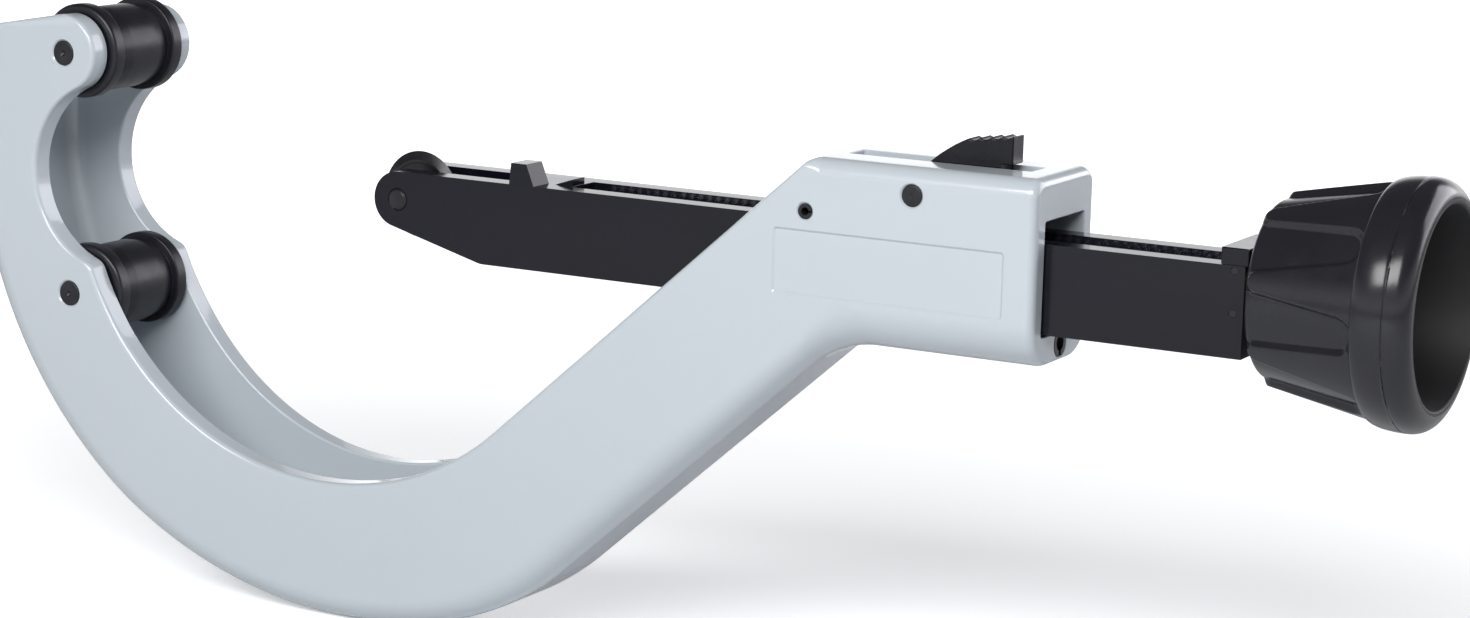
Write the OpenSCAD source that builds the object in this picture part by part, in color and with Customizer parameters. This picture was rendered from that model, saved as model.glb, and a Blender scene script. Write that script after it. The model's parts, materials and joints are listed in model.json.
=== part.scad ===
// Quick acting pipe cutter: a cast C frame with two rollers, and a slide with a
// cutting wheel that a feed screw and a knob push towards them.
// Lengths are in millimetres. Places are measured from the feed axis, which is the
// screw's centre line, and from the rear face of the head, forwards being -X.

/* [Bow] */
// Inner radius of the bow, round the pipe
bow_r = 95; // [88:1:100]
// Height of the bow's centre over the feed axis
bow_rise = 3.3; // [0:0.1:8]
// How much deeper the bow is than the arm, between its two arcs
bow_swell = 6; // [4:0.5:10]
// How far the outer arc's centre lies behind the bow's centre
back_dx = 7.4; // [5:0.1:9]
// How far the outer arc's centre lies above the bow's centre
back_dz = 6.7; // [4:0.1:9]
// Slope of the arm, in degrees
arm_angle = 41.6; // [38:0.1:45]
// Depth of the arm between its two edges
arm_depth = 45; // [40:0.5:50]
// Thickness of the web that joins the two cheeks
web_t = 9; // [7:0.1:10]
// Radius of the outer edges of the bow
bow_fillet = 8.5; // [4:0.5:10]
// Radius of the outer edges of the arm
arm_fillet = 9.5; // [4:0.5:12]
// Radius inside the channel, between web and cheek
channel_fillet = 5; // [2:0.5:8]
// Radius of the cheeks' inner edges
lip_fillet = 1.6; // [0.5:0.1:2.5]
// Length over which the frame widens, in front of the bow's centre
widen_front = 77; // [60:1:90]
// Length over which the frame widens, behind the bow's centre
widen_rear = 22; // [10:1:40]

/* [Hook] */
// Width over the cheeks at the rollers
hook_w = 50; // [48:0.5:56]
// Gap between the cheeks at the rollers
hook_gap = 35; // [32:0.5:38]
// Radius of the ear round the upper roller pin
ear_r = 12.3; // [10:0.1:14]
// Radius of the hollow between the two rollers
neck_r = 30; // [26:0.5:33]
// Direction from the upper pin down to the hollow's centre, in degrees
neck_lean = 65; // [60:0.5:70]
// Radius of the bump beside the lower roller
bump_r = 5; // [3:0.5:8]
// Slope of the hook's top edge, in degrees
hook_slope = 10.2; // [5:0.1:14]
// Radius of the hook's top outer corner
hook_corner_r = 10; // [6:0.5:14]

/* [Rollers] */
// Distance of the roller pins in front of the bow's inner arc
roller_ahead = 2.5; // [1:0.5:5]
// How much further forward the upper pin lies than the lower, halved
roller_stagger = 0.7; // [0:0.1:2]
// Height of the upper pin over the feed axis
roller_rise = 35.4; // [33:0.1:38]
// Depth of the lower pin below the feed axis
roller_drop = 42.2; // [40:0.1:45]
// Radius of the roller flanges
flange_r = 15.1; // [14.6:0.1:16]
// Thickness of the roller flanges
flange_t = 5; // [3:0.1:6]
// Height of the flanges over the roller barrels
flange_step = 1.5; // [1.4:0.1:3]
// Length of the relief beside each flange, over which the barrel tapers
relief_len = 6; // [3:0.5:8]
// How much smaller the barrel's radius gets over the relief
relief_drop = 0.9; // [0.3:0.1:1.5]
// Radius of the rounding on the flange rims
flange_round = 0.8; // [0.5:0.1:1.4]
// Diameter of the roller pins
roller_pin_d = 8; // [6:0.1:9]

/* [Head] */
// Width of the head and of the arm
head_w = 40.7; // [39:0.1:44]
// Length of the head, from the rear face to the middle of its front upper corner
head_len = 68.3; // [68:0.1:72]
// Thickness of the head over the slide
roof_t = 12.4; // [11:0.1:14]
// Free height between slide and roof
roof_gap = 6.1; // [5.6:0.1:7]
// Free height under the slide
floor_gap = 0.9; // [0.6:0.1:1.4]
// Radius of the head's lower edges
head_fillet = 13; // [6:0.5:14]
// Radius of the head's upper edges
top_fillet = 2.6; // [1:0.1:4]
// Radius of the head's front upper corner
brow_r = 6; // [3:0.5:9]
// Radius of the hollow between the arm and the head's underside
under_r = 28; // [22:0.5:34]
// Front end of the shallow side panel, from the rear face
panel_front = 81; // [74:0.5:84]
// Rear end of the side panel, from the rear face
panel_rear = 9.8; // [6:0.1:16]
// Top of the side panel over the feed axis
panel_top = 4.4; // [2:0.1:6]
// Bottom of the side panel below the feed axis
panel_bottom = 13.5; // [10:0.1:14]
// Depth of the side panel
panel_depth = 0.5; // [0.3:0.1:1]

/* [Slide] */
// Width of the slide
slide_w = 26; // [25:0.1:27]
// Height of the slide
slide_h = 25.5; // [25:0.1:27]
// Height of the slide's top over the feed axis
slide_top = 7.3; // [7:0.1:8]
// Sideways clearance of the slide in the head, on each side
slide_clear = 0.4; // [0.3:0.05:0.6]
// How far the slide stands out of the head's rear face
slide_out = 58.4; // [56:0.5:64]
// Distance of the wheel axle in front of the head's rear face
axle_x = 216.3; // [212:0.5:222]
// Depth of the wheel axle below the feed axis
axle_drop = 1.3; // [0.5:0.1:2]
// Distance from the wheel axle back to the slide's full height
chin_back = 30.3; // [26:0.1:36]
// Radius of the slide's lower front corner
chin_r = 9; // [4:1:20]
// Clearance between the groove's floor and the feed thread
groove_floor_gap = 1.2; // [0.6:0.1:2]
// Diameter of the guide tube under the slide
guide_tube_d = 8; // [6:0.1:8]
// How much thicker the head's floor is than the guide tube
guide_cover = 1; // [0.5:0.1:3]
// Length of the guide tube
guide_tube_len = 54; // [40:1:56]

/* [Cutting wheel] */
// Radius of the cutting wheel
wheel_r = 13.5; // [12.5:0.1:14]
// Thickness of the wheel's disc
wheel_t = 3.2; // [2.4:0.1:4]
// Width of the ground bevel at the cutting edge
wheel_bevel = 2.4; // [1.5:0.1:3]
// Radius of the wheel's hub
hub_r = 7; // [6:0.1:8]
// Width of the wheel's hub
hub_w = 7.6; // [6:0.1:8.6]
// Diameter of the wheel axle
axle_d = 6.5; // [5.5:0.1:7]
// Wall of the wheel's bush
bush_wall = 1.4; // [1:0.1:1.8]
// Radius of the washers beside the wheel
spacer_r = 5.6; // [5:0.1:6.4]

/* [Blocks] */
// Distance of the stop block's rear face behind the wheel axle
stop_back = 58.3; // [54:0.1:64]
// Length of the stop block in the groove
stop_len = 21; // [20:0.5:26]
// Length of the hump at its foot
hump_len = 8.7; // [8:0.1:10]
// Length of the hump at its top
hump_top_len = 5.4; // [4:0.1:6.5]
// Height of the hump over the slide
hump_h = 6.5; // [5:0.1:7]
// Distance of the hump's inner side from the middle plane
hump_side = 4.3; // [3:0.1:5]
// Distance from the stop block's rear face forward to the hump's foot
hump_back = 9.2; // [8:0.1:10]
// Height of the small ramp behind the hump, over the slide
ramp_h = 2.1; // [1:0.1:2.5]
// Length of the small ramp
ramp_len = 6.2; // [5:0.1:7]
// Width of the small ramp
ramp_w = 6.5; // [5:0.1:8]
// Length of the end block along the slide
end_len = 8.1; // [7:0.1:9]
// Height of the end block over the slide
end_h = 4.8; // [3.5:0.1:5.5]
// Diameter of the end block pins
end_pin_d = 2; // [1.6:0.1:2.2]

/* [Feed screw] */
// Diameter of the feed thread
screw_d = 12; // [11:0.1:12.5]
// Pitch of the feed thread
thread_pitch = 3; // [2.5:0.1:4]
// Depth of the feed thread
thread_depth = 1.4; // [1:0.1:1.6]
// Sideways clearance of the screw in the groove, on each side
groove_clear = 0.4; // [0.3:0.05:0.6]
// Diameter of the screw's front journal
front_journal_d = 8; // [7:0.1:8.4]
// Diameter of the screw's rear journal
rear_journal_d = 9; // [8.6:0.1:9]
// Wall of the front bush
front_bush_wall = 1.5; // [1:0.1:1.8]
// Length of the front bush
front_bush_len = 11; // [9:0.5:12]
// Thickness of the thrust washer
thrust_t = 1.5; // [1:0.1:2]
// Radius of the thrust washer
thrust_r = 9; // [8:0.1:10]

/* [Knob] */
// Length of the knob
knob_len = 48; // [44:0.5:54]
// Largest radius of the knob
knob_r = 34.5; // [33:0.1:37]
// How much smaller the knob's front end is in radius
knob_taper = 8.2; // [6:0.1:10]
// Height of the rim over the lands
rim_step = 2.2; // [1:0.1:3]
// Length of the rim
rim_len = 16; // [13:0.1:18]
// Wall of the cup at its mouth
mouth_wall = 6.1; // [5:0.1:7]
// How much smaller the bottom of the cup is in radius than the knob's front end
cup_wall = 5.3; // [4:0.1:7]
// Thickness of the knob's front wall
knob_wall = 11; // [10:0.1:13]
// Number of lands
land_count = 8; // [6:1:10]
// Width of a land at its front end
land_front_w = 6.4; // [4:0.1:7]
// Width of a land at its rear end
land_rear_w = 16.8; // [14:0.1:18]
// Depth of the flutes between the lands
flute_depth = 2; // [1.5:0.1:2.4]
// Diameter of the knob's drive pin
drive_pin_d = 3; // [2.5:0.1:3.5]
// Width of the knob nut across its flats
nut_flats = 13; // [12.5:0.1:14]

/* [Lever] */
// Distance of the lever pivot in front of the head's rear face
pivot_x = 38.1; // [36:0.1:40]
// Height of the lever pivot over the roof of the slide's passage
pivot_rise = 4.6; // [4:0.1:5.4]
// Diameter of the lever pivot pin
pivot_d = 6.4; // [5.6:0.1:6.8]
// Radius of the lever round its pivot
boss_r = 5.8; // [5.2:0.1:6]
// Width of the lever
lever_w = 9; // [8:0.1:10]
// Sideways clearance of the lever in its slot, on each side
lever_clear = 0.3; // [0.25:0.05:0.5]
// Free length of the lever's slot in front of the lever
slot_lead = 4.2; // [3.5:0.1:6]
// Free length of the lever's slot behind the lever
slot_trail = 6.3; // [5:0.1:8]
// Distance from the pivot to the rear of the thumb pad
pad_back = 23; // [22:0.1:24.5]
// Distance from the pivot forward to the tip of the lever's arm
arm_front = 23.6; // [22.6:0.1:24.6]
// Height of the thumb pad's rear edge over the head
pad_h = 9.3; // [8:0.1:11]
// Width of the thumb pad
pad_w = 7.8; // [7:0.1:9]
// How far the thumb pad's tip lies in front of the pivot
pad_tip = 2.7; // [2:0.1:4]
// Radius of the thumb pad's ramp
ramp_r = 45; // [30:1:60]
// Overhang of the thumb pad at its rear, over the slot
heel_len = 3.4; // [3:0.1:3.6]
// Number of scallops on the thumb pad
scallop_count = 4; // [3:1:6]
// Length of the half nut
half_nut_len = 13; // [10:0.1:14]
// Diameter of the half nut pin
half_nut_pin_d = 2.6; // [2:0.1:3]
// Diameter of the spring's wire
wire_d = 0.7; // [0.6:0.05:0.8]
// Outer diameter of the spring
spring_d = 5; // [4.6:0.1:5.4]
// Number of curls of the spring
spring_curls = 5; // [4:1:6]

/* [Roll pin] */
// Distance of the roll pin in front of the lever
roll_pin_ahead = 9.8; // [8:0.1:12]
// Diameter of the roll pin
roll_pin_d = 4.4; // [4:0.1:4.8]
// Wall of the roll pin
roll_pin_wall = 1; // [0.8:0.1:1.2]

/* [Hidden] */
$fn = 96;
// Clearances, all round: pieces that turn on a pin, pieces that sit fast, and gaps
// between pieces that pass each other
run_clear = 0.05;
seat_clear = 0.02;
side_clear = 0.3;
// Overrun of the cuts
over = 2;
// Steps of the frame's outline and of its rounded edges
ear_steps = 10;
neck_steps = 10;
bump_steps = 3;
bow_steps = 14;
knee_steps = 5;
arm_steps = 4;
under_steps = 5;
edge_steps = 5;
lip_steps = 2;

// Points on an arc about c
function arc(c, r, a0, a1, n) =
  [for (i = [0:n]) let (a = a0 + (a1 - a0) * i / n) c + r * [cos(a), sin(a)]];
// Points on a straight line
function line(p, q, n) = [for (i = [0:n]) p + (q - p) * i / n];
// A list without its first entry, which repeats the last one of the list before it
function rest(v) = [for (i = [1:len(v) - 1]) v[i]];
// Direction of a vector, from 0 to 360 degrees
function heading(v) = (atan2(v.y, v.x) + 360) % 360;
// The point at distance r1 from c1 and r2 from c2, on the right of the way c1 to c2
function two_circles(c1, r1, c2, r2) =
  let (d = norm(c2 - c1), u = (c2 - c1) / d, a = (r1 * r1 - r2 * r2 + d * d) / (2 * d),
       h = sqrt(r1 * r1 - a * a))
  c1 + a * u + h * [u.y, -u.x];

// Heights and places that follow from the sizes above, as [x, z]
slide_bottom = slide_top - slide_h;
roof_z = slide_top + roof_gap;
floor_z = slide_bottom - floor_gap;
head_top = roof_z + roof_t;
head_bottom = floor_z - guide_tube_d - guide_cover;
passage_w = slide_w + 2 * slide_clear;
arm_dir = [cos(arm_angle), sin(arm_angle)];
arm_out = [sin(arm_angle), -cos(arm_angle)];
// The arm's inner edge runs from the bow's lower end up to the head's front corner
brow_z = head_top - brow_r;
bow_end_z = bow_rise - bow_r * arm_dir.x;
bow_end = [-head_len - (brow_r + (brow_z - bow_end_z) * arm_dir.x) / arm_out.x, bow_end_z];
brow_c = [-head_len, brow_z];
bow_c = bow_end - bow_r * arm_out;
back_c = bow_c + [back_dx, back_dz];
back_r = bow_r + arm_depth + bow_swell;
roller_x = bow_c.x - bow_r - roller_ahead;
upper_pin = [roller_x - roller_stagger, roller_rise];
lower_pin = [roller_x + roller_stagger, -roller_drop];
neck_c = upper_pin + (ear_r + neck_r) * [cos(neck_lean), -sin(neck_lean)];
bump_c = two_circles(neck_c, neck_r + bump_r, bow_c, bow_r + bump_r);
arm_edge = bow_end + arm_depth * arm_out;
// The knee rounds the outer arc into the arm's straight edge
knee_r = bow_r;
knee_turn = acos(((arm_edge - back_c) * arm_out - knee_r) / (back_r - knee_r));
knee_start = 270 + arm_angle - knee_turn;
knee_c = back_c + (back_r - knee_r) * [cos(knee_start), sin(knee_start)];
// Hook's top edge, tangent to the ear, and its outer corner
top_up = [-sin(hook_slope), cos(hook_slope)];
top_left = [-cos(hook_slope), -sin(hook_slope)];
corner_line = upper_pin + (ear_r - hook_corner_r) * top_up;
corner_w = corner_line - back_c;
corner_b = corner_w * top_left;
corner_run = -corner_b + sqrt(corner_b * corner_b - corner_w * corner_w
  + pow(back_r - hook_corner_r, 2));
corner_c = corner_line + corner_run * top_left;
corner_end = heading(corner_c - back_c);
// Underside hollow of the head
under_z = head_bottom - under_r;
under_c = [arm_edge.x + (under_r + (under_z - arm_edge.y) * arm_dir.x) / arm_out.x,
  under_z];
// Place of the whole part: the middle of its length and its lowest point are zero
part_front = back_c.x - back_r;
end_overhang = end_len / 8;
end_front = slide_out - end_len + end_overhang;
end_rear = end_front + end_len;
knob_front = end_rear + 2 * (thrust_t + seat_clear);
knob_rear = knob_front + knob_len;
origin_x = -(part_front + knob_rear) / 2;
origin_z = back_r - back_c.y;
module place() translate([origin_x, 0, origin_z]) children();

// Turns a shape drawn in x and z, and thick along z, to stand thick along y
module stand() rotate([90, 0, 0]) children();
// A round bar along y with its centre at p
module cross_bar(p, r, w, n = $fn) translate([p.x, 0, p.y]) stand()
  cylinder(h = w, r = r, center = true, $fn = n);
// A round bar along x from x0 to x1
module long_bar(x0, x1, r) translate([x0, 0, 0]) rotate([0, 90, 0])
  cylinder(h = x1 - x0, r = r);
// A flat plate of a given outline, w thick, centred on the middle plane
module plate(w) stand() linear_extrude(height = w, center = true) children();
// A block between two corners
module block(lo, hi) translate(lo) cube(hi - lo);
// A solid through a list of rings with the same number of points each
module loft(rings) {
  m = len(rings[0]);
  last = (len(rings) - 1) * m;
  polyhedron(
    points = [for (r = rings) for (p = r) p],
    faces = concat(
      [[for (j = [0:m - 1]) j]],
      [for (k = [0:len(rings) - 2]) for (j = [0:m - 1])
        [k * m + j, (k + 1) * m + j, (k + 1) * m + (j + 1) % m]],
      [for (k = [0:len(rings) - 2]) for (j = [0:m - 1])
        [k * m + j, (k + 1) * m + (j + 1) % m, k * m + (j + 1) % m]],
      [[for (j = [m - 1:-1:0]) last + j]]),
    convexity = 10);
}

// Share of the way from the arm's width to the hook's width at a place x
function widen_share(x) =
  max(0, min(1, (bow_c.x - x + widen_rear) / (widen_front + widen_rear)));
function half_width(x) = (head_w + (hook_w - head_w) * widen_share(x)) / 2;
function half_gap(x) = (passage_w + (hook_gap - passage_w) * widen_share(x)) / 2;

// Outline of the frame, as matching points on its inner and on its outer edge
back_mid_share = 0.26;
bump_share = 0.02;
bow_mid_share = 0.74;
back_turn = knee_start - corner_end;
bow_start = heading(bump_c - bow_c);
bow_turn = 270 + arm_angle - bow_start;
inner_edge = concat(
  arc(upper_pin, ear_r, 90 + hook_slope, -neck_lean, ear_steps),
  rest(arc(neck_c, neck_r, 180 - neck_lean, heading(bump_c - neck_c), neck_steps)),
  rest(arc(bump_c, bump_r, heading(neck_c - bump_c), heading(bow_c - bump_c),
    bump_steps)),
  rest(arc(bow_c, bow_r, bow_start, bow_start + bow_mid_share * bow_turn, bow_steps)),
  rest(arc(bow_c, bow_r, bow_start + bow_mid_share * bow_turn, 270 + arm_angle,
    knee_steps)),
  rest(line(bow_end, brow_c - brow_r * arm_out, arm_steps)),
  rest(arc(brow_c, brow_r, 90 + arm_angle, 90, under_steps)),
  [[0, head_top]]);
outer_edge = concat(
  arc(corner_c, hook_corner_r, 90 + hook_slope, corner_end, ear_steps),
  rest(arc(back_c, back_r, corner_end, corner_end + back_mid_share * back_turn,
    neck_steps)),
  rest(arc(back_c, back_r, corner_end + back_mid_share * back_turn,
    corner_end + (back_mid_share + bump_share) * back_turn, bump_steps)),
  rest(arc(back_c, back_r, corner_end + (back_mid_share + bump_share) * back_turn,
    knee_start, bow_steps)),
  rest(arc(knee_c, knee_r, knee_start, 270 + arm_angle, knee_steps)),
  rest(line(arm_edge, under_c - under_r * arm_out, arm_steps)),
  rest(arc(under_c, under_r, 90 + arm_angle, 90, under_steps)),
  [[0, head_bottom]]);
// Radius of the outer and inner edges at each of those points
arm_first = ear_steps + neck_steps + bump_steps + bow_steps + knee_steps;
arm_last = arm_first + arm_steps;
function edge_fillet(k) = k <= arm_first - knee_steps ? bow_fillet
  : k <= arm_first ? bow_fillet + (arm_fillet - bow_fillet)
    * (k - arm_first + knee_steps) / knee_steps
  : k <= arm_last ? arm_fillet
  : min(head_fillet, arm_fillet + (head_fillet - arm_fillet)
    * (k - arm_last) / under_steps);
function lip(k) = k <= arm_last ? lip_fillet
  : min(top_fillet, lip_fillet + (top_fillet - lip_fillet) * (k - arm_last) / under_steps);
// One cross section of the casting between an outer and an inner point
function casting_ring(o, i, ro, ri) =
  let (d = norm(i - o), u = (i - o) / d,
       half = concat(
         [for (s = [0:edge_steps]) let (b = 90 * s / edge_steps)
           [ro * (1 - cos(b)), ro * (1 - sin(b))]],
         [for (s = [0:lip_steps]) let (b = 90 * s / lip_steps)
           [d - ri * (1 - sin(b)), ri * (1 - cos(b))]]),
       side = [for (h = half) let (p = o + h.x * u)
         [p.x, half_width(p.x) - h.y, p.y]])
  concat(side, [for (s = [len(side) - 1:-1:0]) [side[s].x, -side[s].y, side[s].z]]);
// One cross section of the channel, open past the inner edge
function channel_ring(o, i) =
  let (d = norm(i - o), u = (i - o) / d,
       half = concat(
         [for (s = [0:lip_steps + 1]) let (b = 90 * s / (lip_steps + 1))
           [web_t + channel_fillet * (1 - cos(b)), channel_fillet * (1 - sin(b))]],
         [[d + over, 0]]),
       side = [for (h = half) let (p = o + h.x * u)
         [p.x, half_gap(p.x) - h.y, p.y]])
  concat(side, [for (s = [len(side) - 1:-1:0]) [side[s].x, -side[s].y, side[s].z]]);
// The channel runs out where the web's inner face meets the floor of the passage
web_end_x = arm_edge.x - web_t * arm_out.x
  + (floor_z - arm_edge.y + web_t * arm_out.y) * arm_dir.x / arm_dir.y;
channel_end = [web_end_x, floor_z] + web_t * arm_out;

module frame() {
  color([0.78, 0.83, 0.86]) place() difference() {
    loft([for (k = [0:len(inner_edge) - 1])
      casting_ring(outer_edge[k], inner_edge[k], edge_fillet(k), lip(k))]);
    loft(concat(
      [channel_ring(outer_edge[0] + over * top_up, inner_edge[0] + over * top_up)],
      [for (k = [0:arm_first]) channel_ring((outer_edge[k] + outer_edge[k + 1]) / 2,
        (inner_edge[k] + inner_edge[k + 1]) / 2)],
      [channel_ring(channel_end, channel_end - arm_depth * arm_out)]));
    // Passage for the slide
    block([channel_end.x - arm_depth, -passage_w / 2, floor_z],
      [over, passage_w / 2, roof_z]);
    // Slot for the lever, and the pocket that its spring stands in
    block([slot_front, -lever_w / 2 - lever_clear, roof_z - over],
      [-pocket_front, lever_w / 2 + lever_clear, head_top + over]);
    block([-pocket_front - over, -lever_w / 2 - lever_clear, pocket_z],
      [slot_rear, lever_w / 2 + lever_clear, head_top + over]);
    // Shallow panel on the side of the head
    block([-panel_front, -head_w / 2 - over, -panel_bottom],
      [-panel_rear, -head_w / 2 + panel_depth, panel_top]);
    // Half-round groove for the guide tube
    translate([-guide_tube_len, 0, guide_z]) rotate([0, 90, 0])
      cylinder(h = guide_tube_len + over, d = guide_tube_d + 2 * seat_clear);
    // Bores
    for (p = [upper_pin, lower_pin])
      cross_bar(p, roller_pin_d / 2 + seat_clear, hook_w + 2 * over);
    cross_bar(pivot, pivot_d / 2 + seat_clear, head_w + 2 * over);
    cross_bar(roll_pin, roll_pin_d / 2 + seat_clear, head_w + 2 * over);
  }
}

// Pins of the frame
pin_recess = 0.1;
pin_chamfer = 0.5;
roller_mark_r = 1;
pivot_mark_r = 0.3;
pivot = [-pivot_x, roof_z + pivot_rise];
roll_pin = [-pivot_x - arm_front - roll_pin_ahead, slide_top + roof_gap / 2];
// A headless pin along y with chamfered ends and a centre mark of radius mark_r
module flush_pin(p, d, w, mark_r) translate([p.x, 0, p.y]) stand() difference() {
  rotate_extrude() polygon([[0, -w / 2], [d / 2 - pin_chamfer, -w / 2],
    [d / 2, -w / 2 + pin_chamfer], [d / 2, w / 2 - pin_chamfer],
    [d / 2 - pin_chamfer, w / 2], [0, w / 2]]);
  for (s = [-1, 1]) translate([0, 0, s * w / 2])
    cylinder(h = mark_r, r1 = s < 0 ? mark_r : 0, r2 = s < 0 ? 0 : mark_r, center = true);
}
module upper_roller_pin() color([0.25, 0.25, 0.27]) place()
  flush_pin(upper_pin, roller_pin_d, hook_w - 2 * pin_recess, roller_mark_r);
module lower_roller_pin() color([0.25, 0.25, 0.27]) place()
  flush_pin(lower_pin, roller_pin_d, hook_w - 2 * pin_recess, roller_mark_r);
module lever_pivot_pin() color([0.2, 0.2, 0.22]) place()
  flush_pin(pivot, pivot_d, head_w - 2 * pin_recess, pivot_mark_r);
module guide_roll_pin() color([0.15, 0.15, 0.16]) place()
  translate([roll_pin.x, 0, roll_pin.y]) stand() difference() {
    cylinder(h = head_w - 2 * pin_recess, d = roll_pin_d, center = true);
    cylinder(h = head_w + over, d = roll_pin_d - 2 * roll_pin_wall, center = true);
    translate([0, -roll_pin_wall / 4, -head_w / 2 - over])
      cube([roll_pin_d, roll_pin_wall / 2, head_w + 2 * over]);
  }
// Slotted tube that the slide rides on
guide_z = slide_bottom - side_clear / 2 - guide_tube_d / 2;
guide_wall = guide_tube_d / 5;
module guide_tube() color([0.12, 0.12, 0.13]) place()
  translate([-guide_tube_len + side_clear, 0, guide_z]) rotate([0, 90, 0]) difference() {
    cylinder(h = guide_tube_len - side_clear, d = guide_tube_d);
    translate([0, 0, -over]) cylinder(h = guide_tube_len + 2 * over,
      d = guide_tube_d - 2 * guide_wall);
    translate([0, -guide_wall / 2, -over])
      cube([guide_tube_d, guide_wall, guide_tube_len + 2 * over]);
  }

// Rollers
roller_w = hook_gap - 2 * side_clear;
barrel_r = flange_r - flange_step;
// Half of a roller's profile, as [radius, distance from the middle]
half_roller = concat(
  [[barrel_r, 0], [barrel_r, roller_w / 2 - flange_t - relief_len],
    [barrel_r - relief_drop, roller_w / 2 - flange_t]],
  arc([flange_r - flange_round, roller_w / 2 - flange_t + flange_round], flange_round,
    -90, 0, lip_steps),
  arc([flange_r - flange_round, roller_w / 2 - flange_round], flange_round,
    0, 90, edge_steps));
module roller(p) translate([p.x, 0, p.y]) stand() difference() {
  rotate_extrude() polygon(concat([[0, -roller_w / 2]],
    [for (k = [len(half_roller) - 1:-1:0]) [half_roller[k].x, -half_roller[k].y]],
    rest(half_roller), [[0, roller_w / 2]]));
  cylinder(h = roller_w + over, r = roller_pin_d / 2 + run_clear, center = true);
}
module upper_roller() color([0.17, 0.17, 0.19]) place() roller(upper_pin);
module lower_roller() color([0.17, 0.17, 0.19]) place() roller(lower_pin);

// Slide, with its groove and the fork that holds the wheel
axle = [-axle_x, -axle_drop];
nose_r = slide_top + axle_drop;
groove_w = screw_d + 2 * groove_clear;
groove_drop = screw_d / 2 + groove_floor_gap;
chin = [axle.x + chin_back, slide_bottom];
chin_turn = heading(chin - axle) - acos(nose_r / norm(chin - axle));
nose_end = axle + nose_r * [cos(chin_turn), sin(chin_turn)];
chin_bend = 360 - heading(chin - nose_end);
chin_c = [chin.x + chin_r * tan(chin_bend / 2), slide_bottom + chin_r];
stop_rear = axle.x + stop_back;
stop_front = stop_rear - stop_len;
stop_screw_d = groove_w / 3;
stop_screw_x = stop_front + stop_screw_d;
end_pin_x = end_front + end_len / 2;
screw_head_h = stop_screw_d;
end_pin_z = rear_journal_d / 2 + end_pin_d / 2 + seat_clear + side_clear;
module slide() color([0.16, 0.16, 0.18]) place() difference() {
  union() {
    cross_bar(axle, nose_r, slide_w);
    plate(slide_w) polygon(concat([axle, nose_end],
      arc(chin_c, chin_r, 270 - chin_bend, 270, lip_steps),
      [[slide_out, slide_bottom], [slide_out, slide_top], [axle.x, slide_top]]));
  }
  block([axle.x - nose_r - over, -groove_w / 2, -groove_drop],
    [slide_out + over, groove_w / 2, slide_top + over]);
  block([axle.x - nose_r - over, -groove_w / 2, slide_bottom - over],
    [axle.x + wheel_r + over, groove_w / 2, slide_top + over]);
  cross_bar(axle, axle_d / 2 + seat_clear, slide_w + 2 * over);
  for (s = [-1, 1])
    cross_bar([end_pin_x, s * end_pin_z], end_pin_d / 2 + seat_clear, slide_w + over);
  translate([stop_screw_x, 0, slide_bottom - over])
    cylinder(h = slide_h + over, d = stop_screw_d + 2 * seat_clear);
  translate([stop_screw_x, 0, slide_bottom - over])
    cylinder(h = over + screw_head_h, d = 2 * stop_screw_d + 2 * seat_clear);
}

// Cutting wheel, its bush and its axle
spacer_t = (groove_w - hub_w) / 2 - side_clear;
axle_proud = 0.6;
module wheel_axle() color([0.2, 0.2, 0.22]) place() {
  translate([axle.x, 0, axle.y]) stand() rotate_extrude()
    polygon([[0, -slide_w / 2 - axle_proud], [axle_d / 2 - axle_proud,
      -slide_w / 2 - axle_proud], [axle_d / 2, -slide_w / 2], [axle_d / 2, slide_w / 2],
      [axle_d / 2 - axle_proud, slide_w / 2 + axle_proud], [0, slide_w / 2 + axle_proud]]);
}
module wheel_washers() color([0.6, 0.6, 0.62]) place() for (s = [-1, 1])
  translate([axle.x, s * (hub_w / 2 + side_clear / 2 + spacer_t / 2), axle.y]) stand()
    difference() {
      cylinder(h = spacer_t, r = spacer_r, center = true);
      cylinder(h = spacer_t + over, r = axle_d / 2 + run_clear, center = true);
    }
wheel_bore_r = axle_d / 2 + run_clear + bush_wall;
module cutter_wheel() color([0.2, 0.2, 0.22]) place()
  translate([axle.x, 0, axle.y]) stand() difference() {
    rotate_extrude() polygon([[0, -hub_w / 2], [hub_r, -hub_w / 2], [hub_r, -wheel_t / 2],
      [wheel_r - wheel_bevel, -wheel_t / 2], [wheel_r, 0],
      [wheel_r - wheel_bevel, wheel_t / 2], [hub_r, wheel_t / 2], [hub_r, hub_w / 2],
      [0, hub_w / 2]]);
    cylinder(h = hub_w + over, r = wheel_bore_r + seat_clear, center = true);
  }
module wheel_bush() color([0.72, 0.55, 0.3]) place()
  translate([axle.x, 0, axle.y]) stand() difference() {
    cylinder(h = hub_w, r = wheel_bore_r, center = true);
    cylinder(h = hub_w + over, r = axle_d / 2 + run_clear, center = true);
  }

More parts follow.
